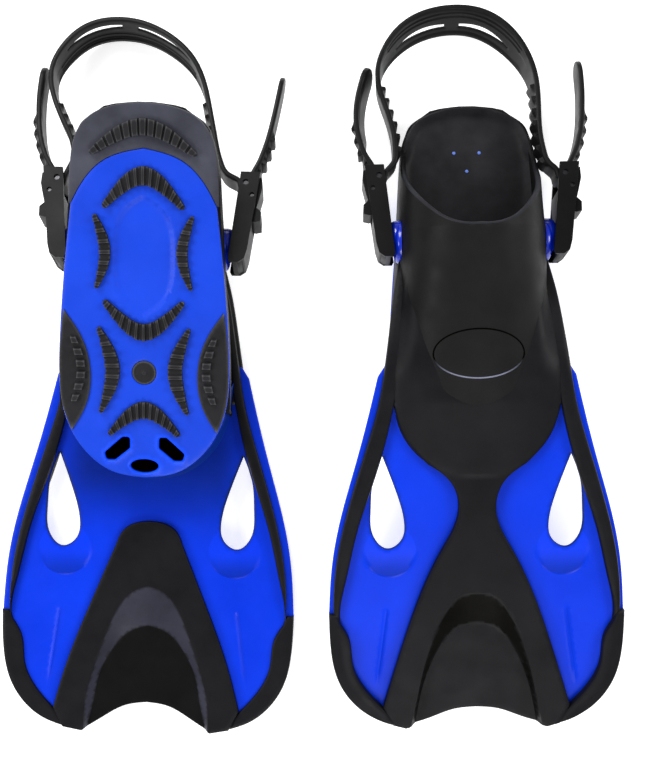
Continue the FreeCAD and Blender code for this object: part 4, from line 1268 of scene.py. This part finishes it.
def strap_shape(loop, tails, lean, flares, last_tooth, tail_lean):
    """A flat strap with teeth, slots and a rimmed heel panel, bent along its line."""
    line = strap_line(loop, tails)
    length = 0.5 * (len(line) - 1)
    along = np.linspace(0, length, len(line))
    at_bar = [along[np.linalg.norm(line - np.array([side * BAR_X, BAR_U - BEND]), axis=1).argmin()]
              for side in (1, -1)]
    centre = sum(at_bar) / 2
    in_loop = (along > at_bar[0]) & (along < at_bar[1])
    near_flare, far_flare = (smooth_step(*flare, line[:, 1]) for flare in flares)
    flare = np.where(line[:, 0] > 0, near_flare, far_flare) * in_loop
    half = STRAP_WIDTH / 2 + (BAND_WIDTH - STRAP_WIDTH) / 2 * flare
    tip = STRAP_WIDTH / 2
    to_end = np.minimum(along, length - along)
    half = half * np.sqrt(np.clip(1 - (1 - np.clip(to_end / tip, 0, 1)) ** 2, 0.0, 1))
    keep = np.ones(len(along), bool)
    keep[1:-1] = (np.arange(1, len(along) - 1) % 3 == 0) | (to_end[1:-1] < 12)
    upper = np.column_stack([along, half])[keep]
    outline = np.concatenate([upper, (upper * np.array([1, -1]))[-2:0:-1]])

    teeth = tooth_starts(at_bar, length, last_tooth)

    def tooth(s, w):
        cell = np.clip(np.searchsorted(teeth, s, side="right") - 1, 0, len(teeth) - 1)
        phase = (s - teeth[cell]) / TEETH_PITCH
        phase = np.where(s > centre, 1 - phase, phase)
        height = np.interp(phase, *zip(*TOOTH), 0, 0) * (phase >= 0) * (phase <= 1)
        return TEETH_HEIGHT * height * smooth_step(TEETH_HALF + 0.5, TEETH_HALF - 0.3, np.abs(w))

    def toothed_face(s, w):
        from_centre = np.abs(s - centre)
        panel = smooth_step(74, 66, from_centre) * smooth_step(11.2, 10.2, np.abs(w))
        bead = (bump(w - 8.2, 0.8) + bump(w - 4.2, 0.8)) * smooth_step(76, 64, from_centre)
        return STRAP_HALF - 0.9 * panel + 0.6 * bead + tooth(s, w)

    def smooth_face(s, w):
        groove = bump(np.abs(w) - (half_at(s) - 2.6), 0.9) * smooth_step(4, 14, np.minimum(s, length - s))
        pan = smooth_step(9.5, 8.0, np.abs(w)) * smooth_step(64, 56, np.abs(s - centre))
        return -STRAP_HALF + 0.45 * groove + 0.8 * pan

    def half_at(s):
        return np.interp(s, along, half)

    lines = []
    for tooth_start in teeth:
        for share, _ in TOOTH:
            at = tooth_start + TEETH_PITCH * (share if tooth_start < centre else 1 - share)
            lines.append(np.array([(at, w) for w in np.linspace(-8.6, 8.6, 11)]))
    slots = []
    for side in (1, -1):
        top, low = ([(centre + side * x, w) for x, w in edge] for edge in (SLOT_TOP, SLOT_LOW))
        slots.append(joined([top, low, [low[-1], top[0]]], 1.2))
    for w in (-11.2, -10.2, 3.4, 4.2, 5.0, 7.4, 8.2, 9.0, 10.2, 11.2):
        lines.append(np.array([(s, w) for s in np.arange(centre - 60, centre + 60, 2.0)]))
    flat = relief(outline, toothed_face, smooth_face, edge=0.9, spacing=2.0, holes=slots, lines=lines)

    s, w, t = flat.points.T
    place = read_at(s, along, line)
    heading = unit(np.gradient(line, axis=0))
    normal = unit(read_at(s, along, np.column_stack([-heading[:, 1], heading[:, 0]])))
    band = np.interp(s, along, flare)
    tail = smooth_step(at_bar[1] + 22, at_bar[1] + 40, s)
    shift = t + lean * (BAND_WIDTH / 2 - w) * band + tail_lean * (STRAP_WIDTH / 2 - w) * tail
    bent = np.column_stack([place + normal * shift[:, None], w])
    return Shape(bent, flipped(flat.faces))


# ---------------------------------------------------------------- studs and buckles

STUD_BASE = [(49.4, 14.6), (51, 14.4), (52.7, 13.4), (53.9, 11.4), (54.5, 8.0), (54.7, 4.0), (54.7, 0.0)]
STUD_BASE_Y = 341.0
APRON = [(57, -12.5), (57, -15.9), (61, -15.9), (64.7, -13.2), (66.4, -7.2), (67.6, 1), (65.9, 1),
         (64.6, -6.8), (63.2, -11.6), (60.4, -13.9)]
APRON_HALF = 12.6


def stud_base_shape(side):
    """The domed foot of a stud, turned about an axis along x."""
    around = 48
    rings = [np.column_stack([np.full(around, side * x), ellipse(STUD_BASE_Y, PIVOT.z, r, r, around)])
             for x, r in spline(STUD_BASE, 0.8)]
    faces = grid_faces(len(rings), around, wrap=True)
    return Shape(np.concatenate(rings), flipped(faces) if side < 0 else faces)


def apron_shape(side):
    """The wall that closes the lower end of a buckle between its two cheeks."""
    outline = np.array([(side * x, u) for x, u in (APRON if side > 0 else APRON[::-1])], float)
    return relief(outline, level(APRON_HALF), level(-APRON_HALF), edge=0.3, spacing=2.0)


# ---------------------------------------------------------------- the two fins

# Each piece's material slot and shape.
PARTS = {
    "blade": ("blue_blade", blade_shape()),
    "centre_channel": ("blade_rubber", centre_shape(NOTCH_EDGE)),
    "foot_pocket": ("black_rubber", pocket_shape()),
    "label_rim": ("black_rubber", label_rim_shape()),
    "sole_plate": ("blue_sole", sole_shape()),
    "toe_fairing": ("blue_sole", toe_fairing_shape()),
    "sole_plug": ("tread_rubber", plug_shape()),
    "footbed": ("footbed_rubber", footbed_shape()),
    "footbed_pegs": ("blue_sole", dots_shape()),
    "tread_bars": ("tread_rubber", tread_bars_shape()),
    "heel_tread": ("tread_rubber", tread(HEEL_TREAD, 1, 13, 0.78, 2.4)),
    "side_grips": ("tread_rubber", side_grips_shape()),
}
SIDES = {"outer": 1, "inner": -1}
for side_name, side in SIDES.items():
    PARTS["rail_" + side_name] = ("blade_rubber", rail_shape(side))
    PARTS["tip_guard_" + side_name] = ("blade_rubber", guard_shape(side))
BARE_CAD = {"strap_bar": "pin_steel", "lever_pin": "pin_steel", "lever_spring": "spring_steel"}
BLADE_SLOTS = ("blue_blade", "blade_rubber")       # of the pieces that are drawn in the blade's frame

# Each strap's line, the lean of its heel band, where the band widens on each side, how far from each
# bar its teeth reach, and the lean of its far tail.
STRAPS = {
    "right": (RIGHT_LOOP, RIGHT_TAILS, 0.29, ((88, 160), (96, 160)), (82, 76), -0.25),
    "left": (LEFT_LOOP, LEFT_TAILS, -0.03, ((100, 158), (96, 150)), (76, 76), 0.0),
}


def build_fin(prefix):
    fin, strap = fin_matrix(prefix), strap_matrix(prefix)
    body, strap_set = prefix + "_fin", prefix + "_strap_set"
    parts = dict(PARTS)
    if prefix == "left":
        parts["centre_channel"] = ("blade_rubber", centre_shape(SAGGED_NOTCH_EDGE))
    for part, (slot, shape) in parts.items():
        matrix = fin @ BLADE_IN_FIN if slot in BLADE_SLOTS else fin
        node = prefix + "_" + part
        stands_for = (node,) if node in frame["nodes"] else ()
        material = MATERIALS["peg_blue" if part == "footbed_pegs" else slot]
        add_piece(node + "_moulded", shape, matrix, body, material, stands_for)
    add_piece(prefix + "_strap_moulded", strap_shape(*STRAPS[prefix]), strap, strap_set,
              MATERIALS["strap_rubber"], (prefix + "_strap",))
    for side_name, side in SIDES.items():
        refined(f"{prefix}_stud_{side_name}", body, "blue_stud")
        refined(f"{prefix}_buckle_housing_{side_name}", strap_set, "buckle_plastic")
        refined(f"{prefix}_buckle_lever_{side_name}", f"{prefix}_lever_{side_name}", "buckle_plastic", strap)
        add_piece(f"{prefix}_stud_base_{side_name}", stud_base_shape(side), fin, body,
                  MATERIALS["blue_stud"])
        add_piece(f"{prefix}_buckle_apron_{side_name}", apron_shape(side), strap, strap_set,
                  MATERIALS["buckle_plastic"])
        for node, slot in BARE_CAD.items():
            kept = frame["nodes"][f"{prefix}_{node}_{side_name}"]
            kept.data.materials.clear()
            kept.data.materials.append(MATERIALS[slot])


for name in ("right", "left"):
    build_fin(name)

# ---------------------------------------------------------------- floor and light


FLOOR_HALF = 60.0       # metres


def make_floor():
    mesh = bpy.data.meshes.new("floor")
    corners = [(FLOOR_HALF * x, FLOOR_HALF * y, 0) for x, y in ((-1, -1), (1, -1), (1, 1), (-1, 1))]
    mesh.from_pydata(corners, [], [(0, 1, 2, 3)])
    floor = linked("floor", mesh)
    nodes = Nodes("floor_paint")
    nodes.shade({
        "Base Color": nodes.ramp(nodes.noise(3, 3), (0.90, 0.90, 0.905), (0.93, 0.93, 0.935)),
        "Roughness": 0.9,
        "Specular IOR Level": 0.1,
        "Emission Color": (1, 1, 1, 1),
        "Emission Strength": 0.6,
    })
    mesh.materials.append(nodes.material)


LIGHT_DISTANCE = 1.9
LIGHT_SIZE = 0.9


def area_light(name, azimuth, elevation, watts):
    """A round lamp that faces the middle of the pair."""
    data = bpy.data.lights.new(name, "AREA")
    data.shape = "DISK"
    data.size = LIGHT_SIZE
    data.energy = watts
    light = linked(name, data)
    a, e = math.radians(azimuth), math.radians(elevation)
    place = Vector((math.cos(a) * math.cos(e), math.sin(a) * math.cos(e), math.sin(e))) * LIGHT_DISTANCE
    light.location = place
    light.rotation_mode = "QUATERNION"
    light.rotation_quaternion = place.to_track_quat("Z", "Y")


def make_light():
    world = bpy.data.worlds.new("studio")
    bpy.context.scene.world = world
    world.use_nodes = True
    background = world.node_tree.nodes["Background"]
    background.inputs["Color"].default_value = (1, 1, 1, 1)
    background.inputs["Strength"].default_value = 0.28
    area_light("key", 115, 40, 24)
    area_light("left", 190, 38, 17)
    area_light("right", 10, 38, 17)
    area_light("front", 275, 38, 14)


make_floor()
make_light()
bpy.context.scene.view_settings.view_transform = "Standard"
